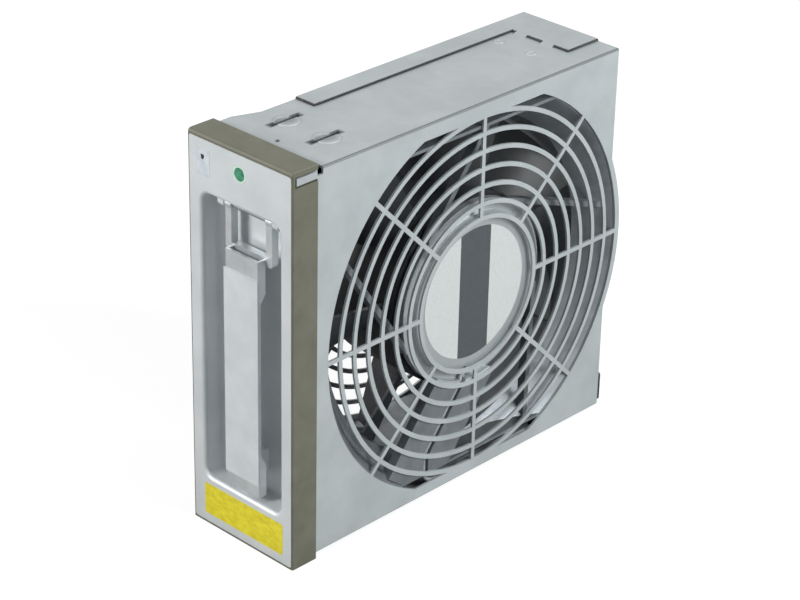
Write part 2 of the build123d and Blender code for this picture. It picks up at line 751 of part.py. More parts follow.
with BuildPart() as fan_frame:
    with BuildSketch(profile_plane):
        with BuildLine():
            Polyline(
                (0, 0),
                (0, fan_radius),
                (flange_depth, fan_radius),
                (barrel_depth, barrel_radius),
                (fan_thickness - barrel_depth, barrel_radius),
                (fan_thickness - flange_depth, fan_radius),
                (fan_thickness, fan_radius),
                (fan_thickness, 0),
                close=True,
            )
        make_face()
    revolve(axis=spin_axis)
    with BuildSketch(fan_plane(fan_thickness)):
        Rectangle(2 * fan_diameter, fan_flats)
    extrude(amount=fan_thickness, mode=Mode.INTERSECT)
    add(fan_bore.part, mode=Mode.SUBTRACT)
    # Screw lugs inside the flared corners
    with BuildSketch(Plane.YZ.offset(inlet_x)):
        with Locations(*fan_screw_places):
            Circle(lug_radius)
    extrude(amount=lug_length)
    with BuildSketch(Plane.YZ.offset(inlet_x - overrun)):
        with Locations(*fan_screw_places):
            Circle(fan_screw_radius + flush_gap)
    extrude(amount=overrun + lug_length, mode=Mode.SUBTRACT)
    # Motor base: a shallow cup with a raised crown
    with BuildSketch(fan_plane(base_depth)):
        Circle(hub_radius)
    extrude(amount=-base_floor)
    with BuildSketch(fan_plane(base_depth)):
        Circle(hub_radius)
        Circle(hub_radius - base_wall, mode=Mode.SUBTRACT)
    extrude(amount=-base_skirt)
    with BuildSketch(fan_plane(base_depth)):
        Circle(crown_radius)
    extrude(amount=crown_rise)
    # Bearing tube and the bosses of the drive board
    with BuildSketch(fan_plane(base_depth)):
        Circle(tube_radius)
        with PolarLocations(board_boss_ring, 3):
            Circle(board_boss_radius)
    extrude(amount=-board_depth + base_depth)
    with BuildSketch(fan_plane(base_depth)):
        Circle(tube_radius)
    extrude(amount=-tube_depth + base_depth)
    # Seats of the bearings and of the board screws
    with BuildSketch(fan_plane(shaft_end - bearing_inset)):
        Circle(bearing_radius)
    extrude(amount=-tube_depth, mode=Mode.SUBTRACT)
    with BuildSketch(fan_plane(board_depth)):
        with PolarLocations(board_boss_ring, 3):
            Circle(board_screw_radius)
    extrude(amount=board_screw_length - board_thickness, mode=Mode.SUBTRACT)
    # Arc window through the base, under the grille
    with BuildSketch(fan_plane(base_depth - crown_rise)):
        window_line = CenterArc(
            (0, 0), hub_radius - window_inset, window_start, window_sweep, mode=Mode.PRIVATE
        )
        SlotArc(window_line, window_width)
    extrude(amount=-crown_rise - base_floor, mode=Mode.SUBTRACT)
    # Four slim swept stays
    with BuildSketch(fan_plane(stay_setback)):
        for index in range(stay_count):
            start = math.radians(stay_first + 360 * index / stay_count)
            end = start - math.radians(stay_sweep)
            inner_point = Vector(math.cos(start), math.sin(start)) * hub_radius
            outer_point = Vector(math.cos(end), math.sin(end)) * fan_radius
            middle = (inner_point + outer_point) / 2
            run = outer_point - inner_point
            if index != stay_count - 2:
                with Locations(middle):
                    Rectangle(run.length + stay_width, stay_width, rotation=math.degrees(math.atan2(run.Y, run.X)))
        Circle(flare_radius, mode=Mode.INTERSECT)
        Rectangle(fan_diameter, fan_flats - 2 * flush_gap, mode=Mode.INTERSECT)
        Circle(hub_radius - base_wall, mode=Mode.SUBTRACT)
    extrude(amount=-stay_depth)
    # Wide cable stay, flush with the outlet face
    with BuildSketch(fan_plane(0)):
        with Locations(Location((*cable_stay_start, 0), (0, 0, cable_stay_angle))):
            with Locations((lead_run / 2, 0)):
                Rectangle(2 * lead_run, cable_stay_width)
        Circle(fan_radius - flush_gap, mode=Mode.INTERSECT)
        Rectangle(fan_diameter, fan_flats - 2 * flush_gap, mode=Mode.INTERSECT)
        Circle(hub_radius - base_wall, mode=Mode.SUBTRACT)
    extrude(amount=-stay_depth)
    # Trough of the fan lead along the wide stay and out through the flange
    with BuildSketch(fan_plane(-overrun)):
        with Locations(Location((*cable_stay_start, 0), (0, 0, cable_stay_angle))):
            with Locations(((lead_run - lead_run_back) / 2, 0)):
                SlotOverall(lead_run + lead_run_back + trough_width, trough_width)
        with Locations((lead_corner[0], lead_corner[1] - fan_flats / 4)):
            Rectangle(trough_width, fan_flats / 2)
    extrude(amount=-overrun - trough_depth, mode=Mode.SUBTRACT)
    with BuildSketch(fan_plane(-overrun)):
        with Locations(Location((*cable_stay_start, 0), (0, 0, cable_stay_angle))):
            with Locations((-lead_run_back + lead_bend / 2, 0)):
                SlotOverall(lead_bend + trough_width, trough_width)
    extrude(amount=-overrun - base_depth - base_floor, mode=Mode.SUBTRACT)
write(fan_frame, "fan_frame")

# Four screws through the intake shell and the lugs of the frame
fan_screw_length = 16.0
fan_screw_head = 2.4
fan_screw_head_radius = 3.6

with BuildPart() as fan_screws:
    with BuildSketch(Plane.YZ.offset(intake_x)):
        with Locations(*fan_screw_places):
            Circle(fan_screw_radius)
    extrude(amount=fan_screw_length)
    with BuildSketch(Plane.YZ.offset(intake_x)):
        with Locations(*fan_screw_places):
            Circle(fan_screw_head_radius)
    extrude(amount=-fan_screw_head, taper=25)
write(fan_screws, "fan_screws")

# Bearings at both ends of the tube, the outer race in the tube and the inner on the shaft
shaft_radius = 3.0
bearing_width = 5.0
front_bearing_depth = 7.0
tube_end = tube_depth - bearing_inset
fit_gap = 0.02

with BuildPart() as bearing_outlet:
    with BuildSketch(fan_plane(front_bearing_depth)):
        Circle(bearing_radius)
        Circle(shaft_radius + fit_gap, mode=Mode.SUBTRACT)
    extrude(amount=-bearing_width)
write(bearing_outlet, "bearing_outlet")

with BuildPart() as bearing_intake:
    with BuildSketch(fan_plane(tube_end - bearing_width)):
        Circle(bearing_radius)
        Circle(shaft_radius + fit_gap, mode=Mode.SUBTRACT)
    extrude(amount=-bearing_width)
write(bearing_intake, "bearing_intake")

# Spacer that seats the outlet bearing, and the preload spring between the bearings
spacer_length = 3.0
spring_wire = 0.8
spring_wall = 1.2

with BuildPart() as bearing_spacer:
    with BuildSketch(fan_plane(front_bearing_depth + bearing_width)):
        Circle(bearing_radius)
        Circle(bearing_radius - spring_wall, mode=Mode.SUBTRACT)
    extrude(amount=-spacer_length)
write(bearing_spacer, "bearing_spacer")

spring_start = front_bearing_depth + bearing_width + spacer_length
spring_end = tube_end - bearing_width
spring_turns = 4
wave_pitch = (spring_end - spring_start) / (2 * spring_turns - 1)

with BuildPart() as bearing_spring:
    # Flat preload spring: stacked washers, open in turn at the inside and the outside
    for index in range(2 * spring_turns - 1):
        start = spring_start + index * wave_pitch
        with BuildSketch(fan_plane(start)):
            Circle(bearing_radius - spring_wall)
            Circle(bearing_radius - spring_wall - spring_wire, mode=Mode.SUBTRACT)
        extrude(amount=-wave_pitch)
write(bearing_spring, "bearing_spring")

# Rotor: shaft, steel cup, magnet ring and the moulded impeller round them
rotor_start = 8.2
magnet_start = 14.0
rotor_end = 46.0
cup_wall = 1.4
magnet_wall = 2.6
magnet_length = 20.0
rotor_hub_wall = 2.2
rotor_hub_step = 1.5
clip_radius = 5.0
clip_thickness = 0.8
clip_gap = 0.6
tip_radius = bore_radius - tip_gap
rotor_hub_radius = hub_radius + rotor_hub_step
cup_radius = rotor_hub_radius - rotor_hub_wall

with BuildPart() as shaft:
    with BuildSketch(fan_plane(shaft_end)):
        Circle(shaft_radius)
    extrude(amount=shaft_end - rotor_end)
write(shaft, "shaft")

with BuildPart() as rotor_cup:
    with BuildSketch(fan_plane(rotor_start)):
        Circle(cup_radius)
    extrude(amount=rotor_start - rotor_end + rotor_hub_wall)
    with BuildSketch(fan_plane(rotor_start)):
        Circle(cup_radius - cup_wall)
    extrude(amount=rotor_start - rotor_end + rotor_hub_wall + cup_wall, mode=Mode.SUBTRACT)
    # Boss pressed on the shaft
    with BuildSketch(fan_plane(tube_depth + 2 * bearing_inset)):
        Circle(bearing_radius)
    extrude(amount=tube_depth + 2 * bearing_inset - rotor_end + rotor_hub_wall)
    with BuildSketch(fan_plane(rotor_start)):
        Circle(shaft_radius)
    extrude(amount=rotor_start - rotor_end, mode=Mode.SUBTRACT)
write(rotor_cup, "rotor_cup")

with BuildPart() as magnet_ring:
    with BuildSketch(fan_plane(magnet_start)):
        Circle(cup_radius - cup_wall)
        Circle(cup_radius - cup_wall - magnet_wall, mode=Mode.SUBTRACT)
    extrude(amount=-magnet_length)
write(magnet_ring, "magnet_ring")

with BuildPart() as retaining_clip:
    with BuildSketch(fan_plane(front_bearing_depth - clip_gap)):
        Circle(clip_radius)
        Circle(shaft_radius, mode=Mode.SUBTRACT)
        with Locations((0, -clip_radius)):
            Rectangle(shaft_radius, 2 * clip_radius, mode=Mode.SUBTRACT)
    extrude(amount=clip_thickness)
write(retaining_clip, "retaining_clip")

# One blade, lofted from a steep section at the hub to a flatter one at the tip
blade_count = 7
blade_lead = 12.8
blade_depth = 31.0
blade_thickness = 2.4
blade_phase = 7.0
root_share = 0.55
tip_share = 1.2
root_bow = 0.17
tip_bow = 0.13


def blade_section(radius, sweep_share, bow):
    """Draw a bowed blade section on the plane that touches a circle round the fan axis"""
    low = Vector(blade_lead, -sweep_share * blade_depth / 2)
    high = Vector(blade_lead + blade_depth, sweep_share * blade_depth / 2)
    middle = (low + high) / 2
    chord = high - low
    normal = Vector(-chord.Y, chord.X) / chord.length
    upper = middle + normal * (chord.length * bow + blade_thickness / 2)
    lower = middle + normal * (chord.length * bow - blade_thickness / 2)
    edge = chord / chord.length * blade_thickness / 4
    plane = Plane(
        origin=(outlet_x, fan_y, fan_z + radius), x_dir=(-1, 0, 0), z_dir=(0, 0, 1)
    )
    with BuildSketch(plane) as section:
        with BuildLine():
            low_top = low + normal * blade_thickness / 4 + edge
            low_bottom = low - normal * blade_thickness / 4 + edge
            high_top = high + normal * blade_thickness / 4 - edge
            high_bottom = high - normal * blade_thickness / 4 - edge
            ThreePointArc(low_top, upper, high_top)
            Line(high_top, high_bottom)
            ThreePointArc(high_bottom, lower, low_bottom)
            Line(low_bottom, low_top)
        make_face()
    return section.sketch.faces()


with BuildPart() as blade:
    loft(
        sections=[
            *blade_section(rotor_hub_radius - 2 * rotor_hub_wall, root_share, root_bow),
            *blade_section(tip_radius + overrun, tip_share, tip_bow),
        ]
    )
    with BuildSketch(fan_plane(0)):
        Circle(tip_radius)
        Circle(rotor_hub_radius - rotor_hub_wall / 2, mode=Mode.SUBTRACT)
    extrude(amount=-fan_thickness, mode=Mode.INTERSECT)

with BuildPart() as impeller:
    with BuildSketch(fan_plane(rotor_start)):
        Circle(rotor_hub_radius)
    extrude(amount=rotor_start - rotor_end)
    fillet(impeller.edges().sort_by(Axis.X)[0], radius=rotor_hub_wall)
    with BuildSketch(fan_plane(rotor_start)):
        Circle(cup_radius)
    extrude(amount=rotor_start - rotor_end + rotor_hub_wall, mode=Mode.SUBTRACT)
    with BuildSketch(fan_plane(rotor_start)):
        Circle(shaft_radius)
    extrude(amount=rotor_start - rotor_end, mode=Mode.SUBTRACT)
    for index in range(blade_count):
        add(blade.part.rotate(spin_axis, blade_phase + 360 * index / blade_count))
write(impeller, "impeller")

# Stator: toothed core on the tube, an insulator under each winding, and the windings
core_start = 17.0
core_length = 14.0
air_gap = 0.6
tooth_count = 9
tooth_width = 4.4
yoke_radius = 15.0
shoe_depth = 2.2
shoe_share = 0.78
coil_wall = 2.6
slot_wall = 0.6
core_radius = cup_radius - cup_wall - magnet_wall - air_gap
coil_inner = yoke_radius + slot_wall
coil_outer = core_radius - shoe_depth - slot_wall
coil_middle = (coil_inner + coil_outer) / 2

with BuildPart() as stator_core:
    with BuildSketch(fan_plane(core_start)):
        Circle(core_radius)
        Circle(core_radius - shoe_depth, mode=Mode.SUBTRACT)
        with PolarLocations(core_radius, tooth_count, start_angle=180 / tooth_count):
            Rectangle(
                4 * shoe_depth, 2 * math.pi * core_radius / tooth_count * (1 - shoe_share), mode=Mode.SUBTRACT
            )
        with PolarLocations(core_radius / 2, tooth_count):
            Rectangle(core_radius - shoe_depth, tooth_width)
        Circle(yoke_radius)
        Circle(tube_radius, mode=Mode.SUBTRACT)
    extrude(amount=-core_length)
write(stator_core, "stator_core")

with BuildPart() as stator_insulator:
    for depth in (core_start, core_start + core_length + slot_wall):
        with BuildSketch(fan_plane(depth - slot_wall)):
            Circle(yoke_radius)
            with PolarLocations(core_radius / 2, tooth_count):
                Rectangle(core_radius - 2 * shoe_depth, tooth_width)
            Circle(tube_radius, mode=Mode.SUBTRACT)
        extrude(amount=-slot_wall)
write(stator_insulator, "stator_insulator")

with BuildPart() as stator_windings:
    with BuildSketch(fan_plane(core_start - slot_wall - coil_wall)):
        with PolarLocations(coil_middle, tooth_count):
            Rectangle(coil_outer - coil_inner, tooth_width + 2 * coil_wall)
    extrude(amount=-core_length - 2 * slot_wall - 2 * coil_wall)
    with BuildSketch(fan_plane(core_start - slot_wall)):
        with PolarLocations(coil_middle, tooth_count):
            Rectangle(coil_outer - coil_inner + overrun, tooth_width)
    extrude(amount=-core_length - 2 * slot_wall, mode=Mode.SUBTRACT)
write(stator_windings, "stator_windings")

# Drive board on three bosses, with its parts and screws
board_gap = 0.6
board_inset = 2.6
board_screw_head_radius = 2.0
board_screw_head = 1.2
chip_size = 7.0
chip_height = 1.6
part_inset = 6.0
capacitor_size = 3.0
part_ring = board_boss_ring - part_inset

with BuildPart() as drive_board:
    with BuildSketch(fan_plane(board_depth)):
        Circle(hub_radius - base_wall - board_inset)
        Circle(tube_radius + board_gap, mode=Mode.SUBTRACT)
        with PolarLocations(board_boss_ring, 3):
            Circle(board_screw_radius, mode=Mode.SUBTRACT)
    extrude(amount=-board_thickness)
write(drive_board, "drive_board")

with BuildPart() as drive_board_parts:
    with BuildSketch(fan_plane(board_depth)):
        with PolarLocations(part_ring, 3, start_angle=30):
            Rectangle(chip_size, chip_size)
        with PolarLocations(part_ring, 3, start_angle=70):
            Rectangle(capacitor_size, capacitor_size)
    extrude(amount=chip_height)
write(drive_board_parts, "drive_board_parts")

with BuildPart() as drive_board_screws:
    with BuildSketch(fan_plane(board_depth + board_thickness)):
        with PolarLocations(board_boss_ring, 3):
            Circle(board_screw_radius)
    extrude(amount=board_screw_length)
    with BuildSketch(fan_plane(board_depth + board_thickness)):
        with PolarLocations(board_boss_ring, 3):
            Circle(board_screw_head_radius)
    extrude(amount=-board_screw_head)
write(drive_board_screws, "drive_board_screws")

# Rear connector: a moulded socket housing with two rows of contacts
contact_size = 0.8
contact_pitch = 4.0
contact_columns = 4
contact_rows = 2
contact_depth = 9.0
contact_length = 7.0
socket_wall = 1.6
lead_tail = 2.0
lead_rise = 3.2
lamp_lead_radius = 0.8
lead_spacing = 3.2

lamp_lead_x = channel_x - lead_spacing
connector_z = connector_base + connector_height / 2
lead_x = outlet_x - trough_depth / 2
lead_z = connector_base + lead_rise

with BuildPart() as rear_connector:
    with BuildSketch(Plane.XZ.offset(-connector_front)):
        with Locations((connector_x, connector_z)):
            Rectangle(connector_width, connector_height)
    extrude(amount=-connector_length)
    fillet(rear_connector.edges().filter_by(Axis.Y), radius=panel_reveal)
    with BuildSketch(Plane.XZ.offset(-connector_back - overrun)):
        with Locations((connector_x, connector_z)):
            Rectangle(connector_width - 2 * socket_wall, connector_height - 2 * socket_wall)
    extrude(amount=overrun + contact_depth, mode=Mode.SUBTRACT)
    with BuildSketch(Plane.XZ.offset(-connector_front + overrun)):
        with Locations((lead_x, lead_z)):
            Circle(lead_radius)
        with Locations((lamp_lead_x, lead_z)):
            Circle(lamp_lead_radius)
    extrude(amount=-overrun - lead_tail, mode=Mode.SUBTRACT)
    with BuildSketch(Plane.XY.offset(connector_base - overrun)):
        with Locations(*[(x, connector_screw_y) for x in connector_screw_xs]):
            Circle(connector_screw_radius)
    extrude(amount=overrun + bezel_screw_length - sheet, mode=Mode.SUBTRACT)
write(rear_connector, "rear_connector")

with BuildPart() as connector_contacts:
    with BuildSketch(Plane.XZ.offset(-connector_back + contact_depth)):
        with Locations((connector_x, connector_z)):
            with GridLocations(contact_pitch, contact_pitch, contact_columns, contact_rows):
                Rectangle(contact_size, contact_size)
    extrude(amount=-contact_length)
write(connector_contacts, "connector_contacts")

with BuildPart() as connector_screws:
    with BuildSketch(Plane.XY.offset(base_z)):
        with Locations(*[(x, connector_screw_y) for x in connector_screw_xs]):
            Circle(connector_screw_radius)
    extrude(amount=bezel_screw_length)
write(connector_screws, "connector_screws")

# Fan lead: from the drive board along the wide stay, out under the frame to the connector
lead_low_z = lead_z
lead_points = [
    (outlet_x - board_depth, fan_y + lead_entry.X, fan_z + lead_entry.Y),
    (lead_x, fan_y + lead_entry.X, fan_z + lead_entry.Y),
    (lead_x, fan_y + lead_turn.X, fan_z + lead_turn.Y),
    (lead_x, fan_y + lead_turn.X, lead_z),
    (lead_x, connector_front + lead_tail, lead_z),
]
with BuildPart() as fan_lead:
    with BuildLine() as fan_lead_path:
        FilletPolyline(*lead_points, radius=lead_bend)
    with BuildSketch(Plane(origin=lead_points[0], z_dir=(1, 0, 0))):
        Circle(lead_radius)
    sweep()
write(fan_lead, "fan_lead")

# Lamp lead: from the lamp board down beside the hand recess and back along the case floor
lamp_lead_bend = 5.0
lamp_lead_sway = 1.0
lamp_lead_inset = 4.4
lamp_lead_slope = 10.0
sway_shares = [0.3, 0.6]

lamp_lead_y = front_y + board_setback + board_thickness / 2
lamp_lead_top = lamp_z - lamp_lead_inset
lamp_lead_low = base_z + lead_drop
wire_start = wall_y + lamp_lead_slope
wire_low = wire_start + lamp_lead_slope
wire_span = connector_front - wire_low
lamp_lead_points = [
    (board_width / 2, lamp_lead_y, lamp_lead_top),
    (channel_x, lamp_lead_y, lamp_lead_top),
    (channel_x - lamp_lead_sway, lamp_lead_y, lamp_lead_top - sway_shares[0] * (lamp_lead_top - lamp_lead_low)),
    (channel_x + lamp_lead_sway, lamp_lead_y, lamp_lead_top - sway_shares[1] * (lamp_lead_top - lamp_lead_low)),
    (channel_x, lamp_lead_y, lamp_lead_low),
    (channel_x, wire_start, lamp_lead_low),
    (lamp_lead_x, wire_low, lead_z),
    (lamp_lead_x - lamp_lead_sway, wire_low + sway_shares[0] * wire_span, lead_z),
    (lamp_lead_x, wire_low + sway_shares[1] * wire_span, lead_z),
    (lamp_lead_x, connector_front + lead_tail, lead_z),
]
with BuildPart() as lamp_lead:
    with BuildLine() as lamp_lead_path:
        FilletPolyline(*lamp_lead_points, radius=lamp_lead_bend)
    with BuildSketch(Plane(origin=lamp_lead_points[0], z_dir=(1, 0, 0))):
        Circle(lamp_lead_radius)
    sweep()
write(lamp_lead, "lamp_lead")

# Clip on the case floor that holds both leads
clip_width = 4.0
clip_height = 5.2
clip_wall = 1.0
clip_y = connector_front - lead_drop

with BuildPart() as lead_clip:
    with BuildSketch(Plane.XZ.offset(-clip_y)):
        with Locations(((lead_x + lamp_lead_x) / 2, connector_base + clip_height / 2)):
            Rectangle(lead_x - lamp_lead_x + 2 * lead_radius + clip_wall, clip_height)
        with Locations((lead_x, lead_z)):
            Circle(lead_radius + flush_gap, mode=Mode.SUBTRACT)
        with Locations((lamp_lead_x, lead_z)):
            Circle(lamp_lead_radius + flush_gap, mode=Mode.SUBTRACT)
    extrude(amount=-clip_width)
write(lead_clip, "lead_clip")
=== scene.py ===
import math

import bmesh
import bpy
from mathutils import Matrix, Vector


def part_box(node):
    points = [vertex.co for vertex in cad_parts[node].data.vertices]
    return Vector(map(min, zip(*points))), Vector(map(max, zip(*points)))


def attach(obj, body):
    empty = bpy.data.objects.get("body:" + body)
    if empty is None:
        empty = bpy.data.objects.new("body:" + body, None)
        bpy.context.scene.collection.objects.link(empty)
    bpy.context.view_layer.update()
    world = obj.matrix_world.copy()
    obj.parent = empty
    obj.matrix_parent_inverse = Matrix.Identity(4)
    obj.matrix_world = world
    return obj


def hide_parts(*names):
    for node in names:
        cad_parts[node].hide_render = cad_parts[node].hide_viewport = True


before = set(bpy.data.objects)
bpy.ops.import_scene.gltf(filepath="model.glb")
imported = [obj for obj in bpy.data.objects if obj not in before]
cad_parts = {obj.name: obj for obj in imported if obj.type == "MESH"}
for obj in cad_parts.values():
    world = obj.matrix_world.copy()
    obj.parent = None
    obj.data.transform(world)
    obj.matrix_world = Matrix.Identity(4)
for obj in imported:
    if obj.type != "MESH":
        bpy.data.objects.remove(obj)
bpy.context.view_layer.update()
MM = 0.001


# CAMERA
# A long portrait lens looks down on the module from its front right corner, a little
# rolled, as the photograph was taken.
camera_data = bpy.data.cameras.new("camera")
camera_data.lens = 116.1
camera_data.sensor_width = 36.0
camera_data.clip_start = 0.05
camera_data.clip_end = 50.0
camera = bpy.data.objects.new("camera", camera_data)
bpy.context.scene.collection.objects.link(camera)
azimuth = math.radians(43.67)
elevation = math.radians(27.59)
roll = math.radians(1.3)
stand = Vector((651.1, -690.15, 571.3)) * MM
back = Vector((
    math.sin(azimuth) * math.cos(elevation),
    -math.cos(azimuth) * math.cos(elevation),
    math.sin(elevation),
))
level = Vector((0, 0, 1)).cross(back).normalized()
upright = back.cross(level)
right = math.cos(roll) * level + math.sin(roll) * upright
above = -math.sin(roll) * level + math.cos(roll) * upright
camera.matrix_world = Matrix((
    (right.x, above.x, back.x, stand.x),
    (right.y, above.y, back.y, stand.y),
    (right.z, above.z, back.z, stand.z),
    (0, 0, 0, 1),
))
bpy.context.scene.camera = camera


# STUDIO
# A pale paper floor and a white room, with three broad soft lamps: one above, one by the
# bezel and one by the grille.
room_strength = 0.17
seen_strength = 1.0
floor_half = 4.0
floor_glow = 0.74
lamp_aim = Vector((0, 0, 0.08))


def linear(hex_value):
    """An sRGB hex colour as Blender's linear numbers"""
    channels = [int(hex_value[i:i + 2], 16) / 255 for i in (1, 3, 5)]
    return [c / 12.92 if c <= 0.04045 else ((c + 0.055) / 1.055) ** 2.4 for c in channels] + [1.0]


def node(tree, kind, inputs=None, **settings):
    """A node with its settings; an input is given a value, or a socket to link from"""
    made = tree.nodes.new(kind)
    for name, value in settings.items():
        setattr(made, name, value)
    for key, value in (inputs or {}).items():
        if isinstance(value, bpy.types.NodeSocket):
            tree.links.new(value, made.inputs[key])
        else:
            made.inputs[key].default_value = value
    return made


bpy.context.scene.view_settings.view_transform = "Standard"
world = bpy.data.worlds.new("studio")
bpy.context.scene.world = world
world.use_nodes = True
world.node_tree.nodes.clear()
rays = node(world.node_tree, "ShaderNodeLightPath")
through = node(world.node_tree, "ShaderNodeMath", {
    0: rays.outputs["Is Camera Ray"], 1: rays.outputs["Is Transmission Ray"],
}, operation="MAXIMUM")
seen = node(world.node_tree, "ShaderNodeMath", {
    0: through.outputs[0], 1: rays.outputs["Is Glossy Ray"],
}, operation="MAXIMUM")
room = node(world.node_tree, "ShaderNodeBackground", {
    "Color": linear("#ffffff"), "Strength": room_strength,
})
white = node(world.node_tree, "ShaderNodeBackground", {
    "Color": linear("#ffffff"), "Strength": seen_strength,
})
either = node(world.node_tree, "ShaderNodeMixShader", {
    0: seen.outputs[0], 1: room.outputs[0], 2: white.outputs[0],
})
node(world.node_tree, "ShaderNodeOutputWorld", {"Surface": either.outputs[0]})

floor_mesh = bpy.data.meshes.new("floor")
floor_corners = [(x * floor_half, y * floor_half, 0) for x, y in ((-1, -1), (1, -1), (1, 1), (-1, 1))]
floor_mesh.from_pydata(floor_corners, [], [(0, 1, 2, 3)])
floor = bpy.data.objects.new("floor", floor_mesh)
bpy.context.scene.collection.objects.link(floor)
# Uncoated white paper: dead matt, so it keeps only the soft shadow, and it shows white to the eye
paper = bpy.data.materials.new("matt_white_paper")
paper.use_nodes = True
paper.node_tree.nodes.clear()
paper_rays = node(paper.node_tree, "ShaderNodeLightPath")
paper_diffuse = node(paper.node_tree, "ShaderNodeBsdfDiffuse", {"Color": linear("#a8a8a8")})
paper_level = node(paper.node_tree, "ShaderNodeMath", {
    0: paper_rays.outputs["Is Camera Ray"], 1: floor_glow,
}, operation="MULTIPLY")
paper_glow = node(paper.node_tree, "ShaderNodeEmission", {
    "Color": linear("#ffffff"), "Strength": paper_level.outputs[0],
})
paper_sum = node(paper.node_tree, "ShaderNodeAddShader", {
    0: paper_diffuse.outputs[0], 1: paper_glow.outputs[0],
})
node(paper.node_tree, "ShaderNodeOutputMaterial", {"Surface": paper_sum.outputs[0]})
floor_mesh.materials.append(paper)

for lamp_name, place, size, power, tint in (
    ("lamp_above", (0.1, 0.25, 1.35), 0.9, 0.8, (1.0, 0.97, 0.94)),
    ("lamp_front", (-0.6, -1.25, 0.7), 0.45, 20.0, (1.0, 1.0, 1.0)),
    ("lamp_side", (1.25, 0.45, 0.8), 0.7, 25.0, (0.97, 1.0, 1.0)),
):
    lamp_data = bpy.data.lights.new(lamp_name, "AREA")
    lamp_data.color = tint
    lamp_data.size = size
    lamp_data.energy = power
    lamp = bpy.data.objects.new(lamp_name, lamp_data)
    lamp.location = place
    lamp.rotation_euler = (Vector(place) - lamp_aim).to_track_quat("Z", "Y").to_euler()
    bpy.context.scene.collection.objects.link(lamp)


# CASE SHEETS
# Two folded shells of zinc-plated steel sheet, with the ring grille punched out of one.
# Cold-rolled sheet shows a faint grain along the rolling direction and soft cloudy plating.
def surface(name, colour, metallic, roughness):
    """A material with its mean colour, its shader and the object's own coordinates"""
    made = bpy.data.materials.new(name)
    made.use_nodes = True
    tree = made.node_tree
    tree.nodes.clear()
    place = node(tree, "ShaderNodeTexCoord").outputs["Object"]
    shader = node(tree, "ShaderNodeBsdfPrincipled", {
        "Base Color": linear(colour), "Metallic": metallic, "Roughness": roughness,
    })
    node(tree, "ShaderNodeOutputMaterial", {"Surface": shader.outputs[0]})
    return made, tree, shader, place


def mottle(tree, shader, place, dark, light, size_mm, stretch=(1, 1, 1)):
    """Soft variation between two colours, in patches of a real size"""
    spread = node(tree, "ShaderNodeMapping", {"Vector": place, "Scale": stretch})
    noise = node(tree, "ShaderNodeTexNoise", {
        "Vector": spread.outputs[0], "Scale": 1 / (size_mm * MM), "Detail": 4.0, "Roughness": 0.6,
    })
    ramp = node(tree, "ShaderNodeValToRGB", {"Fac": noise.outputs["Fac"]})
    ramp.color_ramp.elements[0].position = 0.35
    ramp.color_ramp.elements[0].color = linear(dark)
    ramp.color_ramp.elements[1].position = 0.65
    ramp.color_ramp.elements[1].color = linear(light)
    tree.links.new(ramp.outputs[0], shader.inputs["Base Color"])
    return noise


def rough_and_bump(tree, shader, place, size_mm, low, high, depth_mm, stretch=(1, 1, 1)):
    """Grain in the gloss and the surface, drawn coarser than life where it would not show"""
    spread = node(tree, "ShaderNodeMapping", {"Vector": place, "Scale": stretch})
    grain = node(tree, "ShaderNodeTexNoise", {
        "Vector": spread.outputs[0], "Scale": 1 / (size_mm * MM), "Detail": 3.0,
    })
    gloss = node(tree, "ShaderNodeMapRange", {
        "Value": grain.outputs["Fac"], "To Min": low, "To Max": high,
    })
    tree.links.new(gloss.outputs[0], shader.inputs["Roughness"])
    relief = node(tree, "ShaderNodeBump", {
        "Height": grain.outputs["Fac"], "Strength": 0.5, "Distance": depth_mm * MM,
    })
    tree.links.new(relief.outputs[0], shader.inputs["Normal"])


def dress(material, *names):
    """Give solids of the frame a finish"""
    for name in names:
        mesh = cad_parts[name].data
        for index in range(len(mesh.materials)):
            mesh.materials[index] = material
        if not mesh.materials:
            mesh.materials.append(material)


# Thin zinc over cold-rolled sheet: a pale blue-grey satin with soft clouds and a faint grain
zinc_sheet, tree, shader, place = surface(
    "zinc_plated_steel_sheet", "#adb3b5", metallic=0.25, roughness=0.5,
)
mottle(tree, shader, place, "#a8aeb0", "#b2b8ba", size_mm=18)
rough_and_bump(
    tree, shader, place, size_mm=0.9, low=0.46, high=0.62, depth_mm=0.01, stretch=(1, 0.08, 1),
)
# Painted shade: the pressed half-moons round the two lances are darkened as shade and their slits
# as a wider shadow, and a thin dark line over the top bend is a painted dark reflection
flange_face = 171.6 * MM
flange_under = 169.0 * MM
lance_x = 11.1 * MM
lance_y = -61.95 * MM
slit_shift = 1.1 * MM
slit_shadow_half_width = 1.7 * MM
slit_reach = 8.3 * MM
half_moon_shade_inner = 3.4 * MM
half_moon_shade_outer = 5.8 * MM
half_moon_shade_strength = 0.5
slit_shadow_start = 0.95
slit_shadow_end = 1.15
slit_shadow_strength = 1.3
bend_line = 199.32 * MM
bend_width = 0.2 * MM
bend_reflection_strength = 0.85
split = node(tree, "ShaderNodeSeparateXYZ", {"Vector": place})
shifted = node(tree, "ShaderNodeMath", {0: split.outputs["X"], 1: slit_shift}, operation="ADD")
either_side = node(tree, "ShaderNodeMath", {0: shifted.outputs[0]}, operation="ABSOLUTE")
from_slit = node(tree, "ShaderNodeMath", {
    0: either_side.outputs[0], 1: lance_x,
}, operation="SUBTRACT")
beside = node(tree, "ShaderNodeMath", {0: from_slit.outputs[0]}, operation="ABSOLUTE")
from_centre = node(tree, "ShaderNodeMath", {0: split.outputs["Y"], 1: lance_y}, operation="SUBTRACT")
along = node(tree, "ShaderNodeMath", {0: from_centre.outputs[0]}, operation="ABSOLUTE")
about = node(tree, "ShaderNodeCombineXYZ", {"X": beside.outputs[0], "Y": along.outputs[0]})
lance_distance = node(tree, "ShaderNodeVectorMath", {0: about.outputs[0]}, operation="LENGTH")
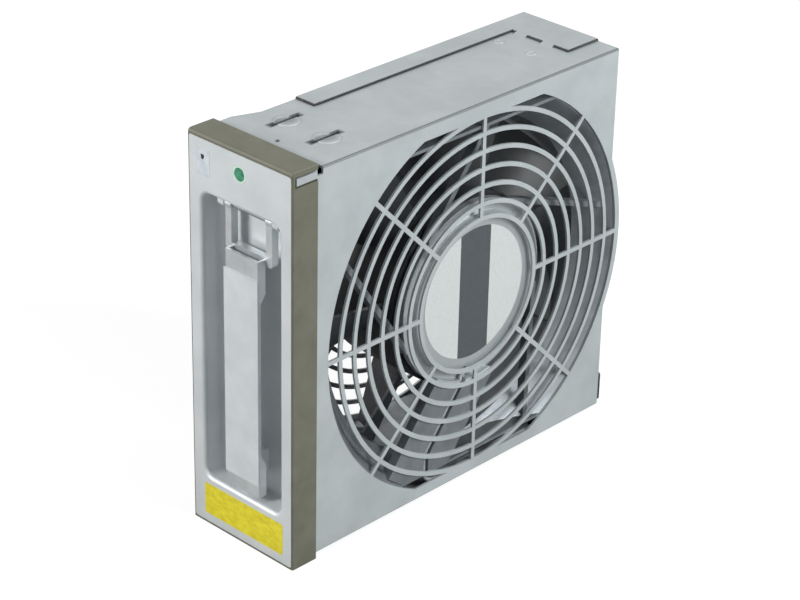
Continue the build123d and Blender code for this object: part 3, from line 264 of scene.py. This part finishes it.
# Painted shade on the half-moons round each lance, fading out between the two radii
half_moon_shade = node(tree, "ShaderNodeMapRange", {
    "Value": lance_distance.outputs["Value"], "From Min": half_moon_shade_inner, "From Max": half_moon_shade_outer,
    "To Min": half_moon_shade_strength, "To Max": 0.0,
})
# Painted shadow along each slit, a little wider than the slit itself
share_beside = node(tree, "ShaderNodeMath", {0: beside.outputs[0], 1: slit_shadow_half_width}, operation="DIVIDE")
share_along = node(tree, "ShaderNodeMath", {0: along.outputs[0], 1: slit_reach}, operation="DIVIDE")
share = node(tree, "ShaderNodeMath", {
    0: share_beside.outputs[0], 1: share_along.outputs[0],
}, operation="MAXIMUM")
slit_shadow = node(tree, "ShaderNodeMapRange", {
    "Value": share.outputs[0], "From Min": slit_shadow_start, "From Max": slit_shadow_end,
    "To Min": slit_shadow_strength, "To Max": 0.0,
})
lance_shade = node(tree, "ShaderNodeMath", {0: half_moon_shade.outputs[0], 1: slit_shadow.outputs[0]}, operation="MAXIMUM")
on_top = node(tree, "ShaderNodeMath", {
    0: split.outputs["Z"], 1: flange_under,
}, operation="GREATER_THAN")
lance_shade_on_top = node(tree, "ShaderNodeMath", {0: lance_shade.outputs[0], 1: on_top.outputs[0]}, operation="MULTIPLY")
# Painted dark reflection: a thin dark line along the top bend
diagonal = node(tree, "ShaderNodeMath", {0: split.outputs["X"], 1: split.outputs["Z"]}, operation="ADD")
bend_dark_reflection = node(tree, "ShaderNodeMapRange", {
    "Value": diagonal.outputs[0], "From Min": bend_line, "From Max": bend_line + bend_width,
    "To Max": bend_reflection_strength,
})
painted_shade_and_reflection = node(tree, "ShaderNodeMath", {0: lance_shade_on_top.outputs[0], 1: bend_dark_reflection.outputs[0]}, operation="MAXIMUM")
plated_tone = shader.inputs["Base Color"].links[0].from_socket
# The sheet's colour is mixed towards dark grey where the painted shade and the painted dark reflection
# fall
sheet_tone = node(tree, "ShaderNodeMix", {
    0: painted_shade_and_reflection.outputs[0], 6: plated_tone, 7: linear("#5d6264"),
}, data_type="RGBA", clamp_factor=True)
tree.links.new(sheet_tone.outputs[2], shader.inputs["Base Color"])
dress(zinc_sheet, "grille_shell", "intake_shell")

# Bright zinc over cold-formed steel: smooth, with small crisp highlights
plated_fastener, tree, shader, place = surface(
    "bright_plated_steel_fastener", "#b4b6b6", metallic=0.9, roughness=0.3,
)
mottle(tree, shader, place, "#a4a7a8", "#bfc1c1", size_mm=1.5)
rough_and_bump(tree, shader, place, size_mm=0.4, low=0.25, high=0.4, depth_mm=0.005)
dress(
    plated_fastener, "shell_rivets", "bezel_screws", "connector_screws", "fan_screws",
    "handle_pin", "drive_board_screws",
)


# BEZEL
# A moulded ring of grained taupe plastic that frames the front panel. It sits over the front
# edge of the case, and four screws hold it from behind.

# Moulded ABS with an eroded grain: an even, dull brown-grey with no sharp highlight
bezel_plastic, tree, shader, place = surface(
    "fine_grained_taupe_abs", "#656557", metallic=0.0, roughness=0.55,
)
mottle(tree, shader, place, "#5d5d4f", "#676759", size_mm=12)
rough_and_bump(tree, shader, place, size_mm=0.5, low=0.48, high=0.6, depth_mm=0.03)
dress(bezel_plastic, "bezel_frame")


# FRONT PANEL
# One silver-painted moulding with the deep hand recess, hinge lugs and a rest boss. It fills
# the opening of the bezel and closes the front of the case.

# Metallic paint sprayed on a moulding: pale and evenly bright, with a broad soft sheen
silver_panel, tree, shader, place = surface(
    "silver_painted_abs", "#cdd1d3", metallic=0.3, roughness=0.4,
)
mottle(tree, shader, place, "#c7ccce", "#d2d6d8", size_mm=25)
rough_and_bump(tree, shader, place, size_mm=0.25, low=0.36, high=0.44, depth_mm=0.006)
dress(silver_panel, "front_panel")


# HANDLE
# A folded steel bar on a flat wire loop, satin plated, with a moulded cover along the grip.
# The loop turns on a pin under the top of the recess, and the bar's foot rests on a pad.

# Satin nickel over folded steel: a soft highlight, drawn out along the bar
satin_steel, tree, shader, place = surface(
    "satin_nickel_plated_steel", "#c6cacb", metallic=0.6, roughness=0.36,
)
mottle(tree, shader, place, "#bec3c5", "#cdd1d2", size_mm=10)
rough_and_bump(
    tree, shader, place, size_mm=0.5, low=0.3, high=0.44, depth_mm=0.01, stretch=(1, 1, 0.05),
)
dress(satin_steel, "handle_strap", "handle_loop")
# Moulded nylon coloured silver: matt, and a shade darker than the plated bar
grip_cover, tree, shader, place = surface(
    "matt_silver_nylon", "#c3c7c9", metallic=0.1, roughness=0.5,
)
mottle(tree, shader, place, "#bdc2c4", "#c9cdcf", size_mm=14)
rough_and_bump(tree, shader, place, size_mm=0.4, low=0.44, high=0.56, depth_mm=0.01)
dress(grip_cover, "handle_grip")
# Moulded rubber: near black and quite without gloss
soft_rubber, tree, shader, place = surface(
    "moulded_soft_rubber", "#2b2b2b", metallic=0.0, roughness=0.8,
)
mottle(tree, shader, place, "#262626", "#303030", size_mm=5)
rough_and_bump(tree, shader, place, size_mm=0.4, low=0.72, high=0.86, depth_mm=0.01)
dress(soft_rubber, "handle_rest_pad")


# STATUS LAMP
# A dark green moulded lens in a pale ring, with the lamp on a small board behind it. The
# leads, their clip and the socket at the rear are made with it.

# Tinted acrylic from a polished mould: deep green with one sharp highlight
lens_green, tree, shader, place = surface(
    "dark_green_acrylic_lens", "#357d60", metallic=0.0, roughness=0.12,
)
mottle(tree, shader, place, "#2b6c50", "#4d9878", size_mm=3)
dress(lens_green, "lamp_lens")
# Milky acrylic: a pale, smooth green edge round the lens
lens_ring, tree, shader, place = surface(
    "pale_green_acrylic_ring", "#c6dccf", metallic=0.0, roughness=0.25,
)
mottle(tree, shader, place, "#bbd5c6", "#d0e3d8", size_mm=3)
dress(lens_ring, "lamp_ring")
# Cast epoxy: pale, smooth and glassy
clear_epoxy, tree, shader, place = surface(
    "clear_epoxy_lamp", "#dfe8e0", metallic=0.0, roughness=0.1,
)
mottle(tree, shader, place, "#d6e2d8", "#e6eee7", size_mm=1)
dress(clear_epoxy, "lamp_diode")
# Solder mask over woven glass: deep green with a fine waviness in its gloss
board_green, tree, shader, place = surface(
    "green_solder_mask_on_glass_board", "#1c5a36", metallic=0.0, roughness=0.35,
)
mottle(tree, shader, place, "#174d2d", "#226840", size_mm=4)
rough_and_bump(tree, shader, place, size_mm=0.6, low=0.3, high=0.42, depth_mm=0.01)
dress(board_green, "lamp_board", "drive_board")
# Extruded soft PVC: dark, with a dull even sheen
lead_black, tree, shader, place = surface(
    "black_pvc_lead_jacket", "#1d1d1f", metallic=0.0, roughness=0.5,
)
mottle(tree, shader, place, "#18181a", "#242426", size_mm=6)
dress(lead_black, "lamp_lead")
# Extruded soft PVC: mid grey, with a dull even sheen
lead_grey, tree, shader, place = surface(
    "grey_pvc_lead_jacket", "#8d9092", metallic=0.0, roughness=0.5,
)
mottle(tree, shader, place, "#86898b", "#95989a", size_mm=6)
dress(lead_grey, "fan_lead")
# Moulded nylon: black, with a fine matt grain
moulded_black, tree, shader, place = surface(
    "black_moulded_nylon", "#1e1f21", metallic=0.0, roughness=0.5,
)
mottle(tree, shader, place, "#191a1c", "#26272a", size_mm=5)
rough_and_bump(tree, shader, place, size_mm=0.3, low=0.42, high=0.56, depth_mm=0.01)
dress(moulded_black, "rear_connector", "lead_clip", "drive_board_parts")
# A flash of gold over nickel: warm, smooth and bright
contact_gold, tree, shader, place = surface(
    "gold_flashed_contacts", "#c9a24e", metallic=1.0, roughness=0.25,
)
mottle(tree, shader, place, "#bd9542", "#d3ae5c", size_mm=1)
dress(contact_gold, "connector_contacts")


# FAN FRAME
# A grey aluminium die casting, shot blasted: soft satin, with a very fine pebble. The motor
# base in its middle is painted lighter than the rest, as painted light on the crown and painted shade
# in the bore.
fan_low, fan_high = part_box("fan_frame")
fan_middle = (Vector(fan_low) + Vector(fan_high)) / 2
motor_base_radius = 40.6 * MM

# Shot blasting leaves fine pebbles: a soft grey satin that holds no clear reflection
fan_casting, tree, shader, place = surface(
    "shot_blasted_die_cast_aluminium", "#878c8f", metallic=0.7, roughness=0.42,
)
cast_grain = mottle(tree, shader, place, "#7f8487", "#90959a", size_mm=9)
rough_and_bump(tree, shader, place, size_mm=0.5, low=0.34, high=0.48, depth_mm=0.03)
# Painted light and shade: the casting is lighter within the motor base radius and darker outside it
from_axis = node(tree, "ShaderNodeMapping", {
    "Vector": place, "Location": (0, -fan_middle.y, -fan_middle.z), "Scale": (0, 1, 1),
})
distance = node(tree, "ShaderNodeVectorMath", {0: from_axis.outputs[0]}, operation="LENGTH")
lit_motor_base = node(tree, "ShaderNodeMath", {
    0: distance.outputs["Value"], 1: motor_base_radius,
}, operation="LESS_THAN")
motor_base_light_tone = node(tree, "ShaderNodeMix", {
    0: cast_grain.outputs["Fac"], 6: linear("#b3b8ba"), 7: linear("#c2c7c9"),
}, data_type="RGBA")
cast_tone = shader.inputs["Base Color"].links[0].from_socket
casting_tone = node(tree, "ShaderNodeMix", {
    0: lit_motor_base.outputs[0], 6: cast_tone, 7: motor_base_light_tone.outputs[2],
}, data_type="RGBA")
tree.links.new(casting_tone.outputs[2], shader.inputs["Base Color"])
dress(fan_casting, "fan_frame")


# ROTOR
# A dark glass-filled plastic impeller over a steel cup with a bonded magnet ring. The cup
# turns on a ground shaft in two bearings, round the wound stator.

# Glass fibres near the skin of the moulding: near black, matt and a little cloudy
impeller_black, tree, shader, place = surface(
    "dark_glass_filled_nylon", "#26292b", metallic=0.0, roughness=0.5,
)
mottle(tree, shader, place, "#212426", "#2d3032", size_mm=8)
rough_and_bump(tree, shader, place, size_mm=0.4, low=0.44, high=0.58, depth_mm=0.01)
dress(impeller_black, "impeller")
# Stamped sheets stacked on edge: dark steel with fine lines across the stack
core_steel, tree, shader, place = surface(
    "stacked_electrical_steel", "#5c6063", metallic=0.8, roughness=0.45,
)
mottle(tree, shader, place, "#54585b", "#666a6d", size_mm=0.5, stretch=(1, 0.05, 0.05))
dress(core_steel, "rotor_cup", "stator_core")
# Magnet powder in a binder: charcoal, dull and slightly grainy
ferrite, tree, shader, place = surface("bonded_ferrite", "#2f2f31", metallic=0.1, roughness=0.6)
mottle(tree, shader, place, "#29292b", "#363638", size_mm=2)
dress(ferrite, "magnet_ring")
# Ground and polished steel: near mirror, with sharp highlights
polished_steel, tree, shader, place = surface(
    "ground_bearing_steel", "#c3c5c7", metallic=1.0, roughness=0.15,
)
mottle(tree, shader, place, "#bbbdc0", "#cbcdce", size_mm=3)
dress(polished_steel, "shaft", "bearing_outlet", "bearing_intake", "bearing_spacer")
# Heat-blued strip: dark, with a cold blue tint and a clear highlight
spring_steel, tree, shader, place = surface(
    "blued_spring_steel", "#55585e", metallic=0.9, roughness=0.3,
)
mottle(tree, shader, place, "#4c4f55", "#606369", size_mm=2)
dress(spring_steel, "bearing_spring", "retaining_clip")
# Enamel over drawn copper, laid in turns: warm red-brown with fine bright lines
winding_copper, tree, shader, place = surface(
    "enamelled_copper_wire", "#a8602f", metallic=0.8, roughness=0.3,
)
mottle(tree, shader, place, "#9a5528", "#b66c38", size_mm=0.4, stretch=(0.1, 1, 1))
dress(winding_copper, "stator_windings")
# Moulded nylon: warm white and matt
white_nylon, tree, shader, place = surface(
    "white_moulded_nylon_insulator", "#dcdcd2", metallic=0.0, roughness=0.5,
)
mottle(tree, shader, place, "#d4d4ca", "#e2e2d9", size_mm=4)
dress(white_nylon, "stator_insulator")


# MOTOR LABEL
# A bare round foil label on the crown of the motor base, pale with one dark printed band.
# Its bonded face lies flat and its edge is die cut.
label_radius = 29.2 * MM
label_setback = 1.7 * MM
label_thickness = 0.12 * MM
label_edge = 0.7 * label_thickness
label_segments = 128
band_half_width = 8.9 * MM
fibre_size = 1.2 * MM


def closed_mesh(name, build):
    """The built form as a mesh, with its faces pointing outwards"""
    made = bpy.data.meshes.new(name)
    bmesh.ops.recalc_face_normals(build, faces=build.faces)
    build.to_mesh(made)
    build.free()
    return made


def join_rings(build, rings):
    """Faces between neighbouring rings of points; a ring of one point closes an end"""
    for inner, outer in zip(rings, rings[1:]):
        count = max(len(inner), len(outer))
        for step in range(count):
            after = (step + 1) % count
            corners = [inner[step % len(inner)], outer[step % len(outer)]]
            corners += [outer[after % len(outer)], inner[after % len(inner)]]
            build.faces.new(list(dict.fromkeys(corners)))


def lathe(name, profile, segments, smooth=False, centre=(0, 0, 0), turn=None):
    """A turned form: (distance along +X, radius) pairs, spun round the X axis"""
    build = bmesh.new()
    rings = []
    for along, radius in profile:
        if radius == 0:
            rings.append([build.verts.new((along, 0, 0))])
            continue
        rings.append([
            build.verts.new((
                along,
                radius * math.cos(2 * math.pi * step / segments),
                radius * math.sin(2 * math.pi * step / segments),
            ))
            for step in range(segments)
        ])
    join_rings(build, rings)
    turned = closed_mesh(name, build)
    if turn:
        turned.transform(turn)
    turned.transform(Matrix.Translation(centre))
    for face in turned.polygons:
        face.use_smooth = smooth
    return turned


def placed(name, mesh, material, body):
    """A finished piece: mesh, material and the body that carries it"""
    piece = bpy.data.objects.new(name, mesh)
    bpy.context.scene.collection.objects.link(piece)
    mesh.materials.append(material)
    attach(piece, body)


# Printed foil: smooth and pale, with fibres in its tone and one dull dark band of ink
label_foil, tree, shader, place = surface(
    "printed_polyester_foil", "#dde0de", metallic=0.0, roughness=0.4,
)
split = node(tree, "ShaderNodeSeparateXYZ", {"Vector": place})
from_middle = node(tree, "ShaderNodeMath", {
    0: split.outputs["Y"], 1: fan_middle.y,
}, operation="SUBTRACT")
away = node(tree, "ShaderNodeMath", {0: from_middle.outputs[0]}, operation="ABSOLUTE")
band = node(tree, "ShaderNodeMath", {0: away.outputs[0], 1: band_half_width}, operation="LESS_THAN")
fibres = node(tree, "ShaderNodeTexNoise", {"Vector": place, "Scale": 1 / fibre_size, "Detail": 4.0})
pale = node(tree, "ShaderNodeMix", {
    0: fibres.outputs["Fac"], 6: linear("#b9bdbc"), 7: linear("#cdd0cf"),
}, data_type="RGBA")
ink = node(tree, "ShaderNodeMix", {
    0: fibres.outputs["Fac"], 6: linear("#3f4347"), 7: linear("#53585c"),
}, data_type="RGBA")
tone = node(tree, "ShaderNodeMix", {
    0: band.outputs[0], 6: pale.outputs[2], 7: ink.outputs[2],
}, data_type="RGBA")
tree.links.new(tone.outputs[2], shader.inputs["Base Color"])
label_disc = lathe("motor_label", [
    (0, 0), (0, label_radius), (label_edge, label_radius),
    (label_thickness, label_radius - label_thickness), (label_thickness, 0),
], label_segments, centre=(fan_high[0] - label_setback, fan_middle.y, fan_middle.z))
placed("motor_label", label_disc, label_foil, "module")


# FRONT LABELS
# Two bare labels on the front panel: a yellow one across its foot, and a small grey one
# behind the round hole at its top. Both are printed foil, bonded flat with rounded corners.
sheet_sunk = 0.02 * MM
sheet_proud = 0.05 * MM
foot_sheet = {"left": -22.25, "right": 23.45, "low": 4.7, "high": 19.0, "corner": 0.8}
hole_sheet = {"left": -24.45, "right": -16.55, "low": 156.3, "high": 167.6, "corner": 0.8}
round_hole = {"x": -20.6, "z": 164.3, "radius": 1.3}
corner_steps = 6


def rounded_outline(left, right, low, high, corner, inset=0.0):
    """Points round a rectangle with rounded corners, drawn in by the inset"""
    points = []
    for centre_x, centre_y, start in (
        (right - corner, high - corner, 0), (left + corner, high - corner, 90),
        (left + corner, low + corner, 180), (right - corner, low + corner, 270),
    ):
        for step in range(corner_steps + 1):
            angle = math.radians(start + 90 * step / corner_steps)
            reach = corner - inset
            points.append((centre_x + reach * math.cos(angle), centre_y + reach * math.sin(angle)))
    return points


def front_sheet(name, outline, hole=None):
    """A thin sheet facing -Y on the front panel, with maybe a round hole in it"""
    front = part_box("front_panel")[0][1]
    build = bmesh.new()
    loops = [outline]
    if hole:
        ring = []
        for x, z in outline:
            angle = math.atan2(z - hole["z"], x - hole["x"])
            reach = hole["radius"]
            ring.append((hole["x"] + reach * math.cos(angle), hole["z"] + reach * math.sin(angle)))
        loops.append(ring)
    sides = [
        [
            [build.verts.new((x * MM, depth, z * MM)) for x, z in loop]
            for depth in (front - sheet_proud, front + sheet_sunk)
        ]
        for loop in loops
    ]
    for face_ring, back_ring in sides:
        join_rings(build, [face_ring, back_ring])
    for layer in (0, 1):
        if hole:
            join_rings(build, [sides[0][layer], sides[1][layer]])
        else:
            build.faces.new(sides[0][layer])
    return closed_mesh(name, build)


# Ink on vinyl, scuffed by hands: a bright yellow that turns patchy and olive
yellow_foil, tree, shader, place = surface(
    "yellow_printed_vinyl", "#dccf28", metallic=0.0, roughness=0.45,
)
mottle(tree, shader, place, "#c8ba1c", "#ded12f", size_mm=3.5, stretch=(1, 1, 1.6))
rough_and_bump(tree, shader, place, size_mm=0.6, low=0.38, high=0.52, depth_mm=0.004)
placed(
    "foot_label", front_sheet("foot_label", rounded_outline(**foot_sheet)),
    yellow_foil, "module",
)
# Ink on vinyl: a flat bluish grey, with no gloss beside the paint round it
grey_foil, tree, shader, place = surface(
    "grey_printed_vinyl", "#bfc5cc", metallic=0.0, roughness=0.5,
)
mottle(tree, shader, place, "#b4bbc4", "#c9ced3", size_mm=2.5)
placed(
    "hole_label", front_sheet("hole_label", rounded_outline(**hole_sheet), round_hole),
    grey_foil, "module",
)


# FAN SCREWS
# Four long pan-head machine screws with cross recesses go through the case into the lugs of
# the fan frame. The heads are cold formed and bright plated.
head_radius = 3.6 * MM
head_height = 2.4 * MM
recess_length = 2.1 * MM
recess_width = 0.5 * MM
recess_depth = 1.3 * MM
recess_taper = 0.6
dome_share = 0.82
rim_drop = 0.35
shank_radius = 1.9 * MM
shank_length = 16.0 * MM
screw_turn = 1.4
screw_circle = 79.5 * MM
screw_spacing = 2 * screw_circle * math.sqrt(0.5)


def input_socket(tree, name, kind, value=None):
    """A named input of a node group"""
    made = tree.interface.new_socket(name=name, in_out="INPUT", socket_type=kind)
    if value is not None:
        made.default_value = value
    return made


rank = bpy.data.node_groups.new("set_out_in_rows", "GeometryNodeTree")
input_socket(rank, "Geometry", "NodeSocketGeometry")
input_socket(rank, "Rows", "NodeSocketInt", 2)
input_socket(rank, "Columns", "NodeSocketInt", 2)
input_socket(rank, "Row Spacing", "NodeSocketFloat", 0.01)
input_socket(rank, "Column Spacing", "NodeSocketFloat", 0.01)
input_socket(rank, "Middle", "NodeSocketVector")
input_socket(rank, "Turn", "NodeSocketRotation")
input_socket(rank, "Spread of Angle", "NodeSocketFloat", 0.0)
input_socket(rank, "Finish", "NodeSocketMaterial")
rank.interface.new_socket(name="Geometry", in_out="OUTPUT", socket_type="NodeSocketGeometry")
given = node(rank, "NodeGroupInput")
rows_long = node(rank, "ShaderNodeMath", {0: given.outputs["Rows"], 1: 1.0}, operation="SUBTRACT")
columns_long = node(rank, "ShaderNodeMath", {0: given.outputs["Columns"], 1: 1.0}, operation="SUBTRACT")
rows_length = node(rank, "ShaderNodeMath", {
    0: rows_long.outputs[0], 1: given.outputs["Row Spacing"],
}, operation="MULTIPLY")
columns_length = node(rank, "ShaderNodeMath", {
    0: columns_long.outputs[0], 1: given.outputs["Column Spacing"],
}, operation="MULTIPLY")
lattice = node(rank, "GeometryNodeMeshGrid", {
    "Size X": rows_length.outputs[0], "Size Y": columns_length.outputs[0],
    "Vertices X": given.outputs["Rows"], "Vertices Y": given.outputs["Columns"],
})
spin = node(rank, "FunctionNodeRandomValue", {"Seed": 7}, data_type="FLOAT")
rank.links.new(given.outputs["Spread of Angle"], spin.inputs[3])
spin_vector = node(rank, "ShaderNodeCombineXYZ", {"Z": spin.outputs[1]})
each = node(rank, "GeometryNodeInstanceOnPoints", {
    "Points": lattice.outputs["Mesh"], "Instance": given.outputs["Geometry"],
    "Rotation": spin_vector.outputs[0],
})
moved = node(rank, "GeometryNodeTransform", {
    "Geometry": each.outputs[0], "Translation": given.outputs["Middle"],
    "Rotation": given.outputs["Turn"],
})
solid = node(rank, "GeometryNodeRealizeInstances", {"Geometry": moved.outputs[0]})
finished = node(rank, "GeometryNodeSetMaterial", {
    "Geometry": solid.outputs[0], "Material": given.outputs["Finish"],
})
node(rank, "NodeGroupOutput", {"Geometry": finished.outputs[0]})


def worked(piece, group, values):
    """Run a node group on a piece, with its inputs set, and keep the result as a plain mesh"""
    bpy.context.scene.collection.objects.link(piece)
    work = piece.modifiers.new(group.name, "NODES")
    work.node_group = group
    for item in group.interface.items_tree:
        if item.in_out == "INPUT" and item.name in values:
            work[item.identifier] = values[item.name]
    whole = bpy.data.meshes.new_from_object(piece.evaluated_get(bpy.context.evaluated_depsgraph_get()))
    piece.modifiers.remove(work)
    piece.data = whole


def set_out(name, one, rows, columns, spacing, middle, turn, finish, body, angle=0.0):
    """Repeat one mesh, whose top faces +Z, over a grid that is turned and moved into place"""
    piece = bpy.data.objects.new(name, one)
    worked(piece, rank, {
        "Rows": rows, "Columns": columns, "Row Spacing": spacing[0], "Column Spacing": spacing[1],
        "Middle": middle, "Turn": turn, "Spread of Angle": angle, "Finish": finish,
    })
    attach(piece, body)
    return piece


def pan_screw(name):
    """A screw with its domed head facing +Z, a cross recess pressed into it and a plain shank"""
    rings, segments = 14, 64
    build = bmesh.new()
    grid = []
    for ring in range(rings + 1):
        radius = head_radius * ring / rings
        circle = []
        for step in range(segments if ring else 1):
            angle = 2 * math.pi * step / segments
            x, y = radius * math.cos(angle), radius * math.sin(angle)
            height = head_height * math.sqrt(1 - (dome_share * radius / head_radius) ** 2)
            height -= head_height * rim_drop * (radius / head_radius) ** 10
            from_slots, from_centre = sorted((abs(x), abs(y)))
            if from_slots < recess_width and from_centre < recess_length:
                height -= recess_depth * (1 - recess_taper * from_centre / recess_length)
            circle.append(build.verts.new((x, y, height)))
        grid.append(circle)
    for radius, level in ((head_radius, 0), (shank_radius, 0), (shank_radius, -shank_length)):
        share = radius / head_radius
        grid.append([
            build.verts.new((rim.co.x * share, rim.co.y * share, level)) for rim in grid[rings]
        ])
    join_rings(build, grid)
    build.faces.new(list(reversed(grid[-1])))
    return closed_mesh(name, build)


fan_screw_set = set_out(
    "fan_screw_set", pan_screw("pan_screw"), 2, 2, (screw_spacing, screw_spacing),
    (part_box("fan_screws")[0][0] + head_height, fan_middle.y, fan_middle.z), (0.0, -math.pi / 2, 0.0),
    plated_fastener, "module", screw_turn,
)
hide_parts("fan_screws")


# CLINCH MARKS
# Two round press joints hold the top flange in front of the rear strap. The punch leaves a
# shallow dished button with a raised rim in the zinc-plated sheet.
clinch_radius = 2.3 * MM
clinch_rise = 0.3 * MM
clinch_dish = 0.2 * MM
clinch_foot = 0.3 * MM
clinch_spacing = 18.0 * MM
clinch_segments = 48
clinch_middle = (-1.4 * MM, 58.5 * MM, flange_face)
clinch_mark = lathe("clinch_mark", [
    (-clinch_dish, 0), (-clinch_dish, clinch_radius * 0.5),
    (clinch_rise * 0.4, clinch_radius * 0.62), (clinch_rise, clinch_radius * 0.76),
    (clinch_rise * 0.8, clinch_radius * 0.9), (0, clinch_radius),
    (-clinch_foot, clinch_radius), (-clinch_foot, 0),
], clinch_segments, smooth=True, turn=Matrix.Rotation(-math.pi / 2, 4, "Y"))
set_out(
    "clinch_marks", clinch_mark, 2, 1, (clinch_spacing, 0.0), clinch_middle, (0.0, 0.0, 0.0),
    zinc_sheet, "module",
)


# SEAM SHADOW
# A thin black bead is painted shadow: it stands for the shade in the joint along the top strip and
# round the rear strap. It is laid in the step between the two sheets.
bead_radius = 0.5 * MM
bead_level = flange_face + 0.42 * MM
bead_gap = 0.3 * MM
strip_left = -24.2 * MM
strip_side = -14.3 * MM + bead_gap
strip_front = -43.95 * MM - bead_gap
strap_front = 71.15 * MM - bead_gap
strap_side = 16.7 * MM + bead_gap
strap_back = 89.4 * MM
left_notch = (-11.8 * MM, -5.4 * MM)
right_notch = (3.0 * MM, 9.4 * MM)

bead_along = bpy.data.node_groups.new("bead_along_a_line", "GeometryNodeTree")
input_socket(bead_along, "Geometry", "NodeSocketGeometry")
input_socket(bead_along, "Bead Radius", "NodeSocketFloat", 0.0005)
input_socket(bead_along, "Sides", "NodeSocketInt", 12)
input_socket(bead_along, "Finish", "NodeSocketMaterial")
bead_along.interface.new_socket(name="Geometry", in_out="OUTPUT", socket_type="NodeSocketGeometry")
bead_given = node(bead_along, "NodeGroupInput")
bead_line = node(bead_along, "GeometryNodeMeshToCurve", {"Mesh": bead_given.outputs["Geometry"]})
bead_round = node(bead_along, "GeometryNodeCurvePrimitiveCircle", {
    "Resolution": bead_given.outputs["Sides"], "Radius": bead_given.outputs["Bead Radius"],
})
bead_tube = node(bead_along, "GeometryNodeCurveToMesh", {
    "Curve": bead_line.outputs[0], "Profile Curve": bead_round.outputs[0], "Fill Caps": True,
})
bead_solid = node(bead_along, "GeometryNodeRealizeInstances", {"Geometry": bead_tube.outputs[0]})
bead_finish = node(bead_along, "GeometryNodeSetMaterial", {
    "Geometry": bead_solid.outputs[0], "Material": bead_given.outputs["Finish"],
})
node(bead_along, "NodeGroupOutput", {"Geometry": bead_finish.outputs[0]})

# Painted shadow: charcoal and dull, a thin dark line along the seam
seam_shadow_finish, tree, shader, place = surface(
    "painted_seam_shadow", "#2f3132", metallic=0.0, roughness=0.7,
)
mottle(tree, shader, place, "#292b2c", "#363839", size_mm=2)
rough_and_bump(tree, shader, place, size_mm=0.3, low=0.62, high=0.78, depth_mm=0.01)
bead_lines = (
    (
        (strip_left, strip_front), (strip_side, strip_front),
        (strip_side, strap_front), (left_notch[0], strap_front),
    ),
    ((left_notch[1], strap_front), (right_notch[0], strap_front)),
    ((right_notch[1], strap_front), (strap_side, strap_front), (strap_side, strap_back)),
)
seam_mesh = bpy.data.meshes.new("seam_shadow_line")
points, edges = [], []
for line in bead_lines:
    edges += [(len(points) + step, len(points) + step + 1) for step in range(len(line) - 1)]
    points += [(x, y, bead_level) for x, y in line]
seam_mesh.from_pydata(points, edges, [])
# Painted shadow: the dark bead laid along the seam
seam_shadow_line = bpy.data.objects.new("seam_shadow_line", seam_mesh)
worked(seam_shadow_line, bead_along, {"Bead Radius": bead_radius, "Sides": 12, "Finish": seam_shadow_finish})
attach(seam_shadow_line, "module")


# LANCE SHADE
# A black pad under the top flange is painted shade: it makes the slits of the two guide lances
# show black. It has rounded corners and lies against the pressed half-moons from inside.
shade_pad_length = 38.0 * MM
shade_pad_width = 20.0 * MM
shade_pad_corner = 2.0 * MM
shade_pad_edge = 0.4 * MM
shade_pad_top = 169.75 * MM
shade_pad_thickness = 2.4 * MM

# Painted shade: dead black and matt, so the slits above it show black
slit_shade_finish, tree, shader, place = surface(
    "painted_slit_shade", "#17181a", metallic=0.0, roughness=0.95,
)
mottle(tree, shader, place, "#121314", "#1f2022", size_mm=0.8)
rough_and_bump(tree, shader, place, size_mm=0.6, low=0.9, high=1.0, depth_mm=0.2)
# Painted shade: the black pad that lies under the slits
build = bmesh.new()
shade_pad_rings = []
for drop, inset in (
    (0, shade_pad_edge), (shade_pad_edge, 0), (shade_pad_thickness - shade_pad_edge, 0), (shade_pad_thickness, shade_pad_edge),
):
    shade_pad_rings.append([
        build.verts.new((x, y, shade_pad_top - drop))
        for x, y in rounded_outline(
            -shade_pad_length / 2, shade_pad_length / 2,
            lance_y - shade_pad_width / 2, lance_y + shade_pad_width / 2, shade_pad_corner, inset,
        )
    ])
join_rings(build, shade_pad_rings)
build.faces.new(shade_pad_rings[0])
build.faces.new(shade_pad_rings[-1])
placed("slit_shade_pad", closed_mesh("slit_shade_pad", build), slit_shade_finish, "module")
